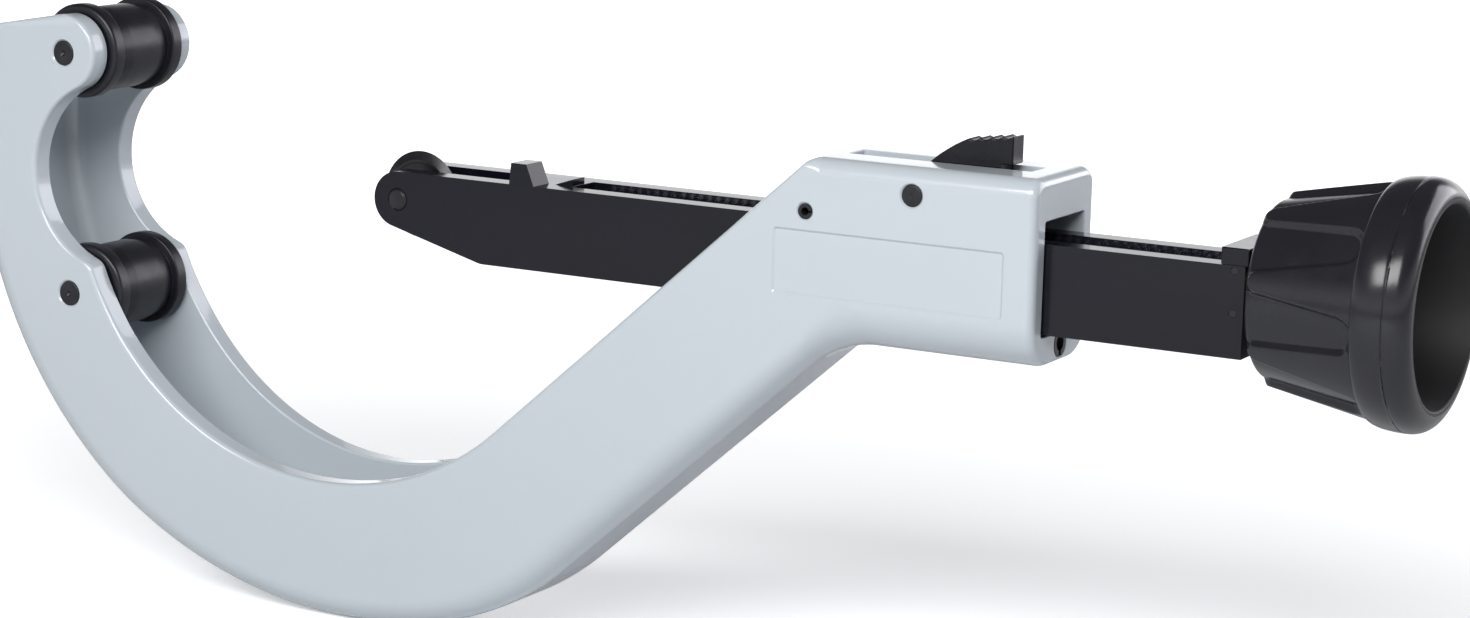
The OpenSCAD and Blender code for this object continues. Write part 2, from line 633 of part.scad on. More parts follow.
// Stop block with its hump and ramp, its screw and the front bush
block_w = groove_w - 2 * seat_clear;
hump_rear = stop_rear - hump_back;
hump_lean = (hump_len - hump_top_len) / 5;
front_bush_r = front_journal_d / 2 + run_clear + front_bush_wall;
module stop_block() color([0.14, 0.14, 0.16]) place() difference() {
  union() {
    block([stop_front, -block_w / 2, -groove_drop + seat_clear],
      [stop_rear, block_w / 2, slide_top]);
    translate([0, -hump_side, 0]) stand() linear_extrude(height = slide_w / 2 - hump_side)
      polygon([[hump_rear - hump_len, slide_top], [hump_rear, slide_top],
        [hump_rear - hump_len + hump_lean + hump_top_len, slide_top + hump_h],
        [hump_rear - hump_len + hump_lean, slide_top + hump_h]]);
    translate([0, ramp_w / 4, 0]) stand() linear_extrude(height = ramp_w)
      polygon([[stop_rear - ramp_len - side_clear, slide_top - ramp_h],
        [stop_rear - side_clear, slide_top - ramp_h],
        [stop_rear - side_clear, slide_top + ramp_h],
        [stop_rear - side_clear - ramp_len, slide_top]]);
  }
  long_bar(stop_rear - front_bush_len, stop_rear + over,
    front_bush_r + seat_clear);
  translate([stop_screw_x, 0, -groove_drop - over])
    cylinder(h = groove_drop + over, d = stop_screw_d + 2 * seat_clear);
}
module stop_block_screw() color([0.3, 0.3, 0.32]) place() {
  translate([stop_screw_x, 0, slide_bottom + pin_recess]) difference() {
    union() {
      cylinder(h = -slide_bottom - pin_recess - side_clear, d = stop_screw_d);
      cylinder(h = screw_head_h - pin_recess, d = 2 * stop_screw_d);
    }
    translate([0, 0, -over])
      cylinder(h = over + screw_head_h / 2, d = stop_screw_d, $fn = 6);
  }
}
module front_bush() color([0.72, 0.55, 0.3]) place() difference() {
  long_bar(stop_rear - front_bush_len + seat_clear, stop_rear, front_bush_r);
  long_bar(stop_rear - front_bush_len - over, stop_rear + over,
    front_journal_d / 2 + run_clear);
}

// End block and its two cross pins
module end_block() color([0.17, 0.17, 0.19]) place() difference() {
  union() {
    block([end_front, -block_w / 2, -groove_drop + seat_clear],
      [end_rear, block_w / 2, slide_top + end_h]);
    block([end_front, -slide_w / 2, slide_top],
      [end_rear, slide_w / 2, slide_top + end_h]);
  }
  long_bar(end_front - over, end_rear + over, rear_journal_d / 2 + run_clear);
  for (s = [-1, 1])
    cross_bar([end_pin_x, s * end_pin_z], end_pin_d / 2 + seat_clear, slide_w + over);
}
module end_block_pins() color([0.3, 0.3, 0.32]) place() for (s = [-1, 1])
  cross_bar([end_pin_x, s * end_pin_z], end_pin_d / 2, slide_w - 2 * pin_recess);
// Two rings take the thrust between end block and knob
module ring(x, r, clear) difference() {
  long_bar(x, x + thrust_t, r);
  long_bar(x - over, x + thrust_t + over, rear_journal_d / 2 + clear);
}
module thrust_washer() color([0.72, 0.55, 0.3]) place()
  ring(end_rear + seat_clear, thrust_r, run_clear);
module screw_collar() color([0.3, 0.3, 0.32]) place()
  ring(knob_front - thrust_t, thrust_r - thrust_t / 2, seat_clear);

// Feed screw: its thread is drawn as ridges, one for each pitch
thread_front = stop_rear + side_clear;
thread_rear = end_front - side_clear;
ridge_count = floor((thread_rear - thread_front) / thread_pitch);
ridge_start = thread_rear - ridge_count * thread_pitch;
journal_front = stop_rear - front_bush_len + side_clear;
nut_h = nut_flats / 2;
boss_len = 5;
knob_washer_t = thrust_t;
nut_front = knob_front + knob_wall + boss_len + seat_clear + knob_washer_t + seat_clear;
screw_rear = nut_front + nut_h + thread_pitch / 2;
stud_d = front_journal_d;
module feed_screw() color([0.35, 0.35, 0.37]) place() difference() {
  rotate([0, 90, 0]) rotate_extrude() polygon(concat(
    [[0, journal_front], [front_journal_d / 2, journal_front],
      [front_journal_d / 2, thread_front], [screw_d / 2 - thread_depth, thread_front]],
    [for (k = [0:ridge_count - 1]) for (s = [0, 1])
      [screw_d / 2 - (1 - s) * thread_depth, ridge_start + (k + s / 2) * thread_pitch]],
    [[screw_d / 2 - thread_depth, thread_rear], [rear_journal_d / 2, thread_rear],
      [rear_journal_d / 2, knob_front + knob_wall], [stud_d / 2, knob_front + knob_wall],
      [stud_d / 2, screw_rear], [0, screw_rear]]));
  drive_hole();
}

// Knob: a cup with a rounded rim, and lands that narrow towards the rim
boss_share = 0.7;
knob_boss_r = nut_flats * boss_share;
knob_front_r = knob_r - knob_taper;
knob_waist_r = knob_r - rim_step;
mouth_r = knob_r - mouth_wall;
cup_floor_r = knob_front_r - cup_wall;
drive_x = knob_front + knob_wall + boss_len / 2;
rim_front = knob_rear - rim_len;
knob_chamfer = rim_len / 10;
rim_rise = rim_len - mouth_wall - knob_chamfer;
land_start = knob_front + knob_chamfer / 2;
land_phase_share = 0.71;
module drive_hole() translate([drive_x, 0, 0])
  cylinder(h = 3 * knob_boss_r, d = drive_pin_d + 2 * seat_clear, center = true);
flute_r = knob_front_r - flute_depth;
module knob() color([0.13, 0.13, 0.14]) place() difference() {
  union() {
    rotate([0, 90, 0]) rotate_extrude() polygon(concat(
      [[0, knob_front], [flute_r - knob_chamfer, knob_front]],
      rest(arc([flute_r - knob_chamfer, knob_front + knob_chamfer], knob_chamfer,
        -90, 0, edge_steps)),
      [[knob_waist_r - flute_depth, rim_front]],
      [for (s = [0:edge_steps]) [
        knob_waist_r + (knob_r - knob_waist_r) * sin(90 * s / edge_steps),
        rim_front + rim_rise * (1 - cos(90 * s / edge_steps))]],
      rest(arc([mouth_r, knob_rear - mouth_wall], mouth_wall, 0, 90, edge_steps)),
      [[0, knob_rear]]));
    intersection() {
      rotate([0, 90, 0]) rotate_extrude() polygon([[0, land_start],
        [knob_front_r, land_start], [knob_waist_r, rim_front],
        [knob_waist_r, rim_front + knob_chamfer], [0, rim_front + knob_chamfer]]);
      for (k = [0:land_count - 1])
        rotate([(k + land_phase_share) * 360 / land_count, 0, 0])
          linear_extrude(height = knob_r) {
            translate([land_start + land_front_w / 2, 0])
              circle(d = land_front_w, $fn = 32);
            polygon([
              [land_start + land_front_w / 2, -land_front_w / 2],
              [rim_front + knob_chamfer, -land_rear_w / 2],
              [rim_front + knob_chamfer, land_rear_w / 2],
              [land_start + land_front_w / 2, land_front_w / 2]]);
          }
    }
  }
  rotate([0, 90, 0]) rotate_extrude() polygon([
    [knob_boss_r, knob_front + knob_wall + boss_len],
    [0, knob_front + knob_wall + boss_len], [0, knob_rear + over],
    [mouth_r, knob_rear + over], [mouth_r, knob_rear - knob_chamfer],
    [cup_floor_r, knob_front + knob_wall + knob_chamfer],
    [cup_floor_r - knob_chamfer, knob_front + knob_wall],
    [knob_boss_r, knob_front + knob_wall]]);
  long_bar(knob_front - over, knob_rear, rear_journal_d / 2 + seat_clear);
  drive_hole();
}
module knob_drive_pin() color([0.5, 0.5, 0.52]) place() translate([drive_x, 0, 0])
  cylinder(h = 2 * knob_boss_r - 2 * pin_recess, d = drive_pin_d, center = true);
module knob_washer() color([0.6, 0.6, 0.62]) place() difference() {
  long_bar(nut_front - seat_clear - knob_washer_t, nut_front - seat_clear, knob_boss_r);
  long_bar(knob_front, knob_rear, stud_d / 2 + seat_clear);
}
module knob_nut() color([0.6, 0.6, 0.62]) place() difference() {
  translate([nut_front, 0, 0]) rotate([0, 90, 0])
    cylinder(h = nut_h, d = nut_flats / cos(30), $fn = 6);
  long_bar(knob_front, knob_rear, stud_d / 2 + seat_clear);
}

// Thumb lever. It turns on the pivot pin: the pad goes down, the half nut comes up
pad_front_share = 0.4;
spring_share = 0.68;
seat_share = 0.6;
nut_top_share = 0.8;
nut_low_share = 0.62;
pad_bottom = head_top - roof_t / 3;
pocket_front = pivot_x - boss_r - side_clear;
pocket_z = roof_z + roof_t / 4;
pad_top = head_top + pad_h;
pad_front = pivot.x + pad_back * pad_front_share;
pad_rear = pivot.x + pad_back;
scallop_len = (pad_rear - pad_front) / scallop_count;
scallop_rise = pad_h / 5;
heel_x = pad_rear - heel_len;
heel_z = head_top + pad_h / 10;
body_top = head_top - side_clear;
lever_front = pivot.x - arm_front;
slot_front = lever_front - slot_lead;
slot_rear = pad_rear + slot_trail;
arm_top = body_top - pad_h / 2;
function pad_line(x) = pad_top - scallop_rise * (pad_rear - x) / (pad_rear - pad_front);
// Points on an arc of radius r that bulges to the right of the way from p to q
function bulge(p, q, r, n) =
  let (m = (p + q) / 2, h = q - p, u = h / norm(h), d = sqrt(r * r - h * h / 4),
       c = m + d * [-u.y, u.x], a = atan2(p.y - c.y, p.x - c.x),
       b = 2 * asin(norm(h) / (2 * r)))
  arc(c, r, a, a + b, n);
module thumb_lever() color([0.17, 0.17, 0.19]) place() difference() {
  union() {
    cross_bar(pivot, boss_r, lever_w);
    plate(lever_w) polygon([[lever_front, nut_top], [pivot.x - boss_r / 2, nut_top],
      [pivot.x, pivot.y - boss_r / 2], [pivot.x + boss_r, pad_bottom],
      [heel_x, pad_bottom], [heel_x, body_top], [pivot.x - pad_tip, body_top],
      [pivot.x - boss_r, arm_top], [lever_front, arm_top]]);
    plate(pad_w) polygon(concat(
      [[pivot.x + boss_r, pad_bottom], [heel_x, pad_bottom], [heel_x, heel_z],
        [pad_rear, heel_z], [pad_rear, pad_top]],
      [for (k = [scallop_count - 1:-1:0]) for (s = [3:-1:0])
        let (x = pad_front + (k + s / 4) * scallop_len)
        [x, pad_line(x) - scallop_rise / 3 * sin(45 * s)]],
      rest(bulge([pad_front, pad_line(pad_front)], [pivot.x - pad_tip, body_top], ramp_r,
        edge_steps))));
  }
  cross_bar(pivot, pivot_d / 2 + run_clear, lever_w + over);
  // Slot and pin hole for the half nut's tongue
  block([lever_front - over, -tongue_w / 2 - seat_clear, nut_top - over],
    [nut_rear + seat_clear, tongue_w / 2 + seat_clear, tongue_top + seat_clear]);
  cross_bar(nut_pin, half_nut_pin_d / 2 + seat_clear, lever_w + over);
  // Pocket for the spring
  translate([spring_x, 0, pad_bottom - over])
    cylinder(h = over + spring_seat - pad_bottom, d = spring_d + 2 * side_clear);
}

// Half nut: a saddle on the screw with thread grooves, and a tongue in the lever
nut_top = slide_top + roof_gap * nut_top_share;
nut_front_x = lever_front;
nut_rear = lever_front + half_nut_len;
tongue_share = 0.45;
tongue_w = lever_w * tongue_share;
tongue_top = arm_top - tongue_w / 2;
nut_pin = [(nut_front_x + nut_rear) / 2, (nut_top + tongue_top) / 2];
nut_bore_r = screw_d / 2 + run_clear;
nut_low = nut_bore_r * nut_low_share;
module half_nut() color([0.72, 0.55, 0.3]) place() difference() {
  union() {
    block([nut_front_x, -lever_w / 2, nut_low], [nut_rear, lever_w / 2, nut_top]);
    block([nut_front_x, -tongue_w / 2, nut_top - over], [nut_rear, tongue_w / 2, tongue_top]);
  }
  long_bar(nut_front_x - over, nut_rear + over, nut_bore_r);
  for (k = [0:floor(half_nut_len / thread_pitch) - 1])
    translate([nut_front_x + (k + 0.5) * thread_pitch, 0, 0]) rotate([0, 90, 0])
      rotate_extrude() translate([nut_bore_r, 0])
        polygon([[-over, -thread_pitch / 4], [0, -thread_pitch / 4],
          [thread_depth / 2, 0], [0, thread_pitch / 4], [-over, thread_pitch / 4]]);
  cross_bar(nut_pin, half_nut_pin_d / 2 + seat_clear, lever_w + over);
}
module half_nut_pin() color([0.4, 0.4, 0.42]) place()
  cross_bar(nut_pin, half_nut_pin_d / 2, lever_w - 2 * pin_recess);

// Spring under the thumb pad: one wire that climbs at a steady rate
spring_x = pivot.x + pad_back * spring_share;
spring_seat = pad_bottom + pad_h * seat_share;
spring_low = pocket_z + wire_d / 2;
spring_high = spring_seat - wire_d / 2;
curl_rings = 8;
wire_sides = 6;
spring_r = (spring_d - wire_d) / 2;
function wire_centre(k) = let (a = 360 * k / curl_rings)
  [spring_x + spring_r * cos(a), spring_r * sin(a),
    spring_low + (spring_high - spring_low) * k / (curl_rings * spring_curls)];
spring_centres = [for (k = [0:curl_rings * spring_curls]) wire_centre(k)];
module lever_spring() color([0.7, 0.7, 0.72]) place() loft(
  [for (k = [0:curl_rings * spring_curls]) let (a = 360 * k / curl_rings, c = wire_centre(k))
    [for (s = [0:wire_sides - 1]) let (b = 360 * s / wire_sides)
      c + wire_d / 2 * [cos(b) * cos(a), cos(b) * sin(a), sin(b)]]]);
spring_least_gap = min([for (i = [0:len(spring_centres) - 1])
  for (j = [i + curl_rings / 2:1:len(spring_centres) - 1])
    norm(spring_centres[i] - spring_centres[j])]) - wire_d;
echo(spring_least_gap = spring_least_gap);

frame();
upper_roller_pin();
lower_roller_pin();
lever_pivot_pin();
guide_roll_pin();
guide_tube();
upper_roller();
lower_roller();
slide();
wheel_axle();
wheel_washers();
stop_block();
stop_block_screw();
front_bush();
end_block();
end_block_pins();
thrust_washer();
screw_collar();
cutter_wheel();
wheel_bush();
feed_screw();
knob();
knob_drive_pin();
knob_washer();
knob_nut();
thumb_lever();
half_nut();
half_nut_pin();
lever_spring();
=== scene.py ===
"""Quick acting pipe cutter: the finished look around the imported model.

Shapes are worked out in the tool's own place, in millimetres: x from the head's rear
face, forwards being -x, y across, and z from the feed axis. place() moves them into
the frame.
"""
import json
import math

import bpy
from mathutils import Matrix, Vector


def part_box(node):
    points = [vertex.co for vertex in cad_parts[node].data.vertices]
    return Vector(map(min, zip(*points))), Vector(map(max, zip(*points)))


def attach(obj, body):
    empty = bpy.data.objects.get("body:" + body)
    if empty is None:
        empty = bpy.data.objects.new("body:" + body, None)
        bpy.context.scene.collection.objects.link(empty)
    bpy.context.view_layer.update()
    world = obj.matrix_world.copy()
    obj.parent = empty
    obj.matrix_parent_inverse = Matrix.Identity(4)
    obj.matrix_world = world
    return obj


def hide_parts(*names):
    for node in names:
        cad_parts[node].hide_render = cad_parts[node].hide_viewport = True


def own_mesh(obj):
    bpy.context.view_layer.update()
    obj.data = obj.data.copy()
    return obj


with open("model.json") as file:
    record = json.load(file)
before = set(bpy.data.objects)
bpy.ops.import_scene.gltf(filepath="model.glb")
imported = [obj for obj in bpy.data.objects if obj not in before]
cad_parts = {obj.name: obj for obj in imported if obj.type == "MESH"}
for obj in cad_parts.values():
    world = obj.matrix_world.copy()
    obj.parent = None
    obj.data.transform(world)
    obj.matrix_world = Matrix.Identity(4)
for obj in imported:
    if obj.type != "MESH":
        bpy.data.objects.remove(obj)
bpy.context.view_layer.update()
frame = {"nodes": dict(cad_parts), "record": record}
nodes = frame["nodes"]

MM = 0.001
REAR_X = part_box("frame")[1].x
AXIS_Z = (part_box("feed_screw")[0].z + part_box("feed_screw")[1].z) / 2

# All sizes are in millimetres and degrees

# Allowances: how far a cutter stands out of what it cuts, the play round a pressed part
# and round a turning one, where a turned solid's end closes, how far a rounded lip lies
# in the face that it opens, and what keeps the channel's lip off the hook's top
OVER = 2
SEAT = 0.02
PLAY = 0.05
AXIS_R = 0.05
LIP_SHIFT = 0.96
TOP_CLEAR = 0.03

# Frame: bow, arm and head
BOW_R = 95
BOW_C = Vector((-239.01, 3.3))
BACK_R = 146
BACK_C = BOW_C + Vector((7.4, 6.7))
KNEE_R = BOW_R
ARM_ANGLE = 41.6
ARM_DEPTH = 45
WEB_T = 9
BROW_R = 6
UNDER_R = 28
HEAD_TOP = 25.8
ROOF_Z = 13.4
FLOOR_Z = -19.1
HEAD_BOTTOM = FLOOR_Z - WEB_T

# Frame: widths, and how far before and behind the bow's centre they change
HEAD_W = 40.7
PASSAGE_W = 26.8
HOOK_W = 50
HOOK_GAP = 35
WIDEN_FRONT = 77
WIDEN_REAR = 22

# Frame: hook
EAR_R = 12.3
NECK_R = 30
NECK_LEAN = 65
BUMP_R = 5
HOOK_SLOPE = 10.2
CORNER_R = 10

# Frame: rounded edges
BOW_FILLET = 8.5
ARM_FILLET = 9.5
HEAD_FILLET = 13
TOP_FILLET = 5.4
CHANNEL_FILLET = 5
LIP_FILLET = 1.6
INNER_LIP = 0.8
END_ROUND = 3
END_SHARE_BELOW = 2 / 3
PASSAGE_CORNER = 0.8
PASSAGE_FLARE = 0.6

# Frame: pins
UPPER_PIN = Vector((-337.21, 35.4))
LOWER_PIN = Vector((-335.81, -42.2))
ROLLER_PIN_D = 8
PIVOT = Vector((-38.1, 18))
PIVOT_D = 6.4
ROLL_PIN = Vector((-71.5, 10.35))
ROLL_PIN_D = 4.4
BORE_FLARE = 0.5

# Frame: slot for the lever, panel and guide tube
LEVER_SLOT_W = 9.6
SLOT_FRONT = -65.9
SLOT_REAR = -8.8
SLOT_CORNER = 0.6
SLOT_FLARE = 0.3
POCKET_FRONT = -32
POCKET_Z = 16.5
PANEL_X = (-81, -9.8)
PANEL_Z = (-13.5, 4.4)
PANEL_DEEP = 0.5
PANEL_CORNER = 0.5
PANEL_SLOPE = 0.7
GUIDE_Z = -22.35
GUIDE_R = 4.02
GUIDE_LEN = 54
GUIDE_CHAMFER = 0.4


def place(p):
    """A point of the tool's own place as a point of the frame, in metres."""
    return (p[0] * MM + REAR_X, p[1] * MM, p[2] * MM + AXIS_Z)


def cosd(a):
    return math.cos(math.radians(a))


def sind(a):
    return math.sin(math.radians(a))


def quarter(n):
    """n + 1 angles from 0 to 90 degrees."""
    return [90 * s / n for s in range(n + 1)]


def turned_to(a):
    return Vector((cosd(a), sind(a)))


def arc(c, r, a0, a1, n):
    """n + 1 points on an arc about c."""
    return [c + r * turned_to(a0 + (a1 - a0) * i / n) for i in range(n + 1)]


def line(p, q, n):
    """n + 1 points on the way from p to q."""
    return [p.lerp(q, i / n) for i in range(n + 1)]


def heading(v):
    """Direction of a vector, from 0 to 360 degrees."""
    return math.degrees(math.atan2(v[1], v[0])) % 360


def ease(t):
    """A smooth step from 0 to 1."""
    t = min(max(t, 0), 1)
    return t * t * (3 - 2 * t)


def inset(depth, r):
    """How far a rounded edge of radius r draws in at a depth below the face."""
    t = min(max(r - depth, 0), r)
    return r - math.sqrt(r * r - t * t)


def new_object(name, verts, faces):
    mesh = bpy.data.meshes.new(name)
    mesh.from_pydata([place(v) for v in verts], [], faces)
    mesh.validate()
    obj = bpy.data.objects.new(name, mesh)
    bpy.context.scene.collection.objects.link(obj)
    return obj


def loft(name, rings, ring_shaped=False):
    """A closed solid through rings with the same number of points each."""
    m, n = len(rings[0]), len(rings)
    verts = [p for r in rings for p in r]
    faces = []
    for k in range(n if ring_shaped else n - 1):
        a, b = k * m, (k + 1) % n * m
        for j in range(m):
            i = (j + 1) % m
            faces.append((a + j, a + i, b + i, b + j))
    if not ring_shaped:
        faces.append(tuple(range(m - 1, -1, -1)))
        faces.append(tuple((n - 1) * m + j for j in range(m)))
    obj = new_object(name, verts, faces)
    outward(obj)
    return obj


def outward(obj):
    """Turns all faces of a closed mesh to face outwards."""
    mesh = obj.data
    volume = 0
    for f in mesh.polygons:
        p = [mesh.vertices[v].co for v in f.vertices]
        for i in range(1, len(p) - 1):
            volume += p[0].dot(p[i].cross(p[i + 1]))
    if volume < 0:
        mesh.flip_normals()


def circle_point(axis, centre, r, h, a):
    """A point at radius r and angle a round an axis through centre, h along it."""
    s, c = r * sind(a), r * cosd(a)
    x, y, z = centre
    if axis == "x":
        return (x + h, y + s, z + c)
    if axis == "y":
        return (x + c, y + h, z + s)
    return (x + c, y + s, z + h)


def turned_rings(axis, centre, profile, n):
    """Rings of n points round an axis, from (radius, place along it) points."""
    return [[circle_point(axis, centre, r, h, 360 * j / n) for j in range(n)]
            for r, h in profile]


def lathe(name, axis, centre, profile, n=96, ring_shaped=False):
    """A turned solid from (radius, place along the axis) points."""
    return loft(name, turned_rings(axis, centre, profile, n), ring_shaped)


def evaluated(obj):
    """Applies an object's modifiers."""
    bpy.context.view_layer.update()
    graph = bpy.context.evaluated_depsgraph_get()
    mesh = bpy.data.meshes.new_from_object(obj.evaluated_get(graph))
    obj.modifiers.clear()
    obj.data = mesh
    return obj


def cut(obj, *cutters, operation="DIFFERENCE"):
    """Cuts solids out of a solid and deletes them."""
    for c in cutters:
        mod = obj.modifiers.new(c.name, "BOOLEAN")
        mod.operation = operation
        mod.object = c
        mod.solver = "EXACT"
    evaluated(obj)
    for c in cutters:
        bpy.data.objects.remove(c)
    return obj


def smooth(obj, angle=32, weighted=True):
    """Smooth shading, apart from edges sharper than an angle."""
    mesh = obj.data
    mesh.polygons.foreach_set("use_smooth", [True] * len(mesh.polygons))
    mesh.set_sharp_from_angle(angle=math.radians(angle))
    if weighted:
        mod = obj.modifiers.new("normals", "WEIGHTED_NORMAL")
        mod.keep_sharp = True
    return obj


def bevel(obj, width, segments=3, angle=35):
    mod = obj.modifiers.new("bevel", "BEVEL")
    mod.width = width * MM
    mod.segments = segments
    mod.limit_method = "ANGLE"
    mod.angle_limit = math.radians(angle)
    mod.harden_normals = False
    return obj


def finish_piece(obj, body, slot, *cad_nodes):
    """Sets what a piece replaces in the CAD, the body it rides on and its finish."""
    if cad_nodes:
        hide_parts(*cad_nodes)
    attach(obj, body)
    obj.data.materials.clear()
    obj.data.materials.append(materials[slot])
    return obj


# Materials

def new_tree(owner, output="ShaderNodeOutputMaterial"):
    """The emptied nodes of a material or world, and the socket that takes its surface."""
    owner.use_nodes = True
    tree = owner.node_tree
    tree.nodes.clear()
    return tree, tree.nodes.new(output).inputs["Surface"]


def new_material(name):
    mat = bpy.data.materials.new(name)
    tree, out = new_tree(mat)
    shader = tree.nodes.new("ShaderNodeBsdfPrincipled")
    tree.links.new(shader.outputs["BSDF"], out)
    return mat, tree, shader


def noise(tree, scale, detail=3, stretch=(1, 1, 1), rough=0.5):
    """Noise over the object's own coordinates, with scale in waves per metre."""
    coords = tree.nodes.new("ShaderNodeTexCoord")
    mapping = tree.nodes.new("ShaderNodeMapping")
    mapping.inputs["Scale"].default_value = stretch
    tree.links.new(coords.outputs["Object"], mapping.inputs["Vector"])
    tex = tree.nodes.new("ShaderNodeTexNoise")
    tex.inputs["Scale"].default_value = scale
    tex.inputs["Detail"].default_value = detail
    tex.inputs["Roughness"].default_value = rough
    tree.links.new(mapping.outputs["Vector"], tex.inputs["Vector"])
    return tex.outputs["Fac"]


def remap(tree, value, lo, hi, to_lo, to_hi):
    node = tree.nodes.new("ShaderNodeMapRange")
    node.inputs["From Min"].default_value = lo
    node.inputs["From Max"].default_value = hi
    node.inputs["To Min"].default_value = to_lo
    node.inputs["To Max"].default_value = to_hi
    tree.links.new(value, node.inputs["Value"])
    return node.outputs["Result"]


def calc(tree, operation, a, b):
    """A Math node on two sockets or numbers."""
    node = tree.nodes.new("ShaderNodeMath")
    node.operation = operation
    for socket, value in zip(node.inputs, (a, b)):
        if isinstance(value, (int, float)):
            socket.default_value = value
        else:
            tree.links.new(value, socket)
    return node.outputs[0]


def mixed(tree, fac, a, b):
    node = tree.nodes.new("ShaderNodeMix")
    node.data_type = "RGBA"
    node.inputs[6].default_value = (*a, 1)
    node.inputs[7].default_value = (*b, 1)
    tree.links.new(fac, node.inputs[0])
    return node.outputs[2]


def bump(tree, shader, height, strength, distance):
    node = tree.nodes.new("ShaderNodeBump")
    node.inputs["Strength"].default_value = strength
    node.inputs["Distance"].default_value = distance
    tree.links.new(height, node.inputs["Height"])
    tree.links.new(node.outputs["Normal"], shader.inputs["Normal"])


# The parts of the noise's range that take a finish from one tone, or roughness, to the other
TONE_SPAN = (0.35, 0.65)
WEAR_SPAN = (0.3, 0.7)


def surface(name, dark, light, rough, metallic=0, patch=60, grain=900, stretch=(1, 1, 1),
            depth=0.00004, strength=0.3, coat=0, coat_rough=0.1, specular=0.5):
    """A finish: colour drifting between two tones, roughness from a range, and grain."""
    mat, tree, shader = new_material(name)
    tone = remap(tree, noise(tree, patch), *TONE_SPAN, 0, 1)
    tree.links.new(mixed(tree, tone, dark, light), shader.inputs["Base Color"])
    wear = noise(tree, patch * 3, 5, stretch)
    tree.links.new(remap(tree, wear, *WEAR_SPAN, *rough), shader.inputs["Roughness"])
    bump(tree, shader, noise(tree, grain, 2, stretch), strength, depth)
    shader.inputs["Metallic"].default_value = metallic
    shader.inputs["Specular IOR Level"].default_value = specular
    shader.inputs["Coat Weight"].default_value = coat
    shader.inputs["Coat Roughness"].default_value = coat_rough
    return mat


materials = {
    "frame_paint": surface("frame_paint", (0.535, 0.587, 0.625), (0.55, 0.6, 0.64),
                           (0.22, 0.27), patch=7, grain=260, depth=0.00003, strength=0.12,
                           coat=0.7, coat_rough=0.04),
    "slide_black": surface("slide_black", (0.004, 0.004, 0.0085), (0.005, 0.005, 0.0105),
                           (0.15, 0.2), patch=25, grain=900, stretch=(0.15, 1, 1),
                           depth=0.00001, strength=0.1, specular=0.32),
    "roller_black": surface("roller_black", (0.008, 0.008, 0.0125), (0.01, 0.01, 0.015),
                            (0.3, 0.38), patch=60, grain=1400, depth=0.00003,
                            strength=0.12, specular=0.42),
    "knob_plastic": surface("knob_plastic", (0.012, 0.012, 0.0165), (0.015, 0.015, 0.0195),
                            (0.15, 0.24), patch=50, grain=1100, depth=0.00004,
                            strength=0.18),
    "lever_black": surface("lever_black", (0.005, 0.005, 0.0085), (0.007, 0.007, 0.011),
                           (0.22, 0.3), patch=80, grain=1600, depth=0.00002,
                           strength=0.15, specular=0.36),
    "pin_steel": surface("pin_steel", (0.016, 0.016, 0.02), (0.024, 0.024, 0.029),
                         (0.28, 0.4), metallic=0.1, patch=300, grain=2200, depth=0.00003,
                         specular=0.35),
    "wheel_steel": surface("wheel_steel", (0.012, 0.012, 0.015), (0.018, 0.018, 0.022),
                           (0.26, 0.36), metallic=0.3, patch=120, grain=1800,
                           depth=0.00003, strength=0.15),
    "bright_steel": surface("bright_steel", (0.42, 0.42, 0.44), (0.56, 0.56, 0.58),
                            (0.2, 0.32), metallic=1, patch=200, grain=2000,
                            depth=0.00003),
    "bronze": surface("bronze", (0.05, 0.034, 0.02), (0.07, 0.05, 0.03), (0.34, 0.46),
                      metallic=1, patch=160, grain=1600, depth=0.00003),
}


# Frame: the CAD's own outline in finer steps, with rounded lips

ARM_DIR = turned_to(ARM_ANGLE)
ARM_OUT = Vector((sind(ARM_ANGLE), -cosd(ARM_ANGLE)))
NECK_C = UPPER_PIN + (EAR_R + NECK_R) * turned_to(-NECK_LEAN)


def two_circles(c1, r1, c2, r2):
    """The point at r1 from c1 and r2 from c2, on the right of the way c1 to c2."""
    d = (c2 - c1).length
    u = (c2 - c1) / d
    a = (r1 * r1 - r2 * r2 + d * d) / (2 * d)
    h = math.sqrt(r1 * r1 - a * a)
    return c1 + a * u + h * Vector((u.y, -u.x))


BUMP_C = two_circles(NECK_C, NECK_R + BUMP_R, BOW_C, BOW_R + BUMP_R)
BOW_END = BOW_C + BOW_R * ARM_OUT
ARM_EDGE = BOW_END + ARM_DEPTH * ARM_OUT
knee_cos = ((ARM_EDGE - BACK_C).dot(ARM_OUT) - KNEE_R) / (BACK_R - KNEE_R)
KNEE_START = 270 + ARM_ANGLE - math.degrees(math.acos(knee_cos))
KNEE_C = BACK_C + (BACK_R - KNEE_R) * turned_to(KNEE_START)
TOP_UP = turned_to(90 + HOOK_SLOPE)
TOP_LEFT = turned_to(180 + HOOK_SLOPE)
corner_line = UPPER_PIN + (EAR_R - CORNER_R) * TOP_UP
corner_w = corner_line - BACK_C
corner_b = corner_w.dot(TOP_LEFT)
CORNER_C = corner_line + TOP_LEFT * (-corner_b + math.sqrt(
    corner_b ** 2 - corner_w.length_squared + (BACK_R - CORNER_R) ** 2))
CORNER_END = heading(CORNER_C - BACK_C)
UNDER_C = Vector((ARM_EDGE.x + (UNDER_R + (HEAD_BOTTOM - UNDER_R - ARM_EDGE.y) * ARM_DIR.x)
                  / ARM_OUT.x, HEAD_BOTTOM - UNDER_R))
BROW_C = Vector((BOW_END.x + (BROW_R + (HEAD_TOP - BROW_R - BOW_END.y) * ARM_DIR.x)
                 / ARM_OUT.x, HEAD_TOP - BROW_R))
BACK_TURN = KNEE_START - CORNER_END
BOW_START = heading(BUMP_C - BOW_C)
BOW_TURN = 270 + ARM_ANGLE - BOW_START
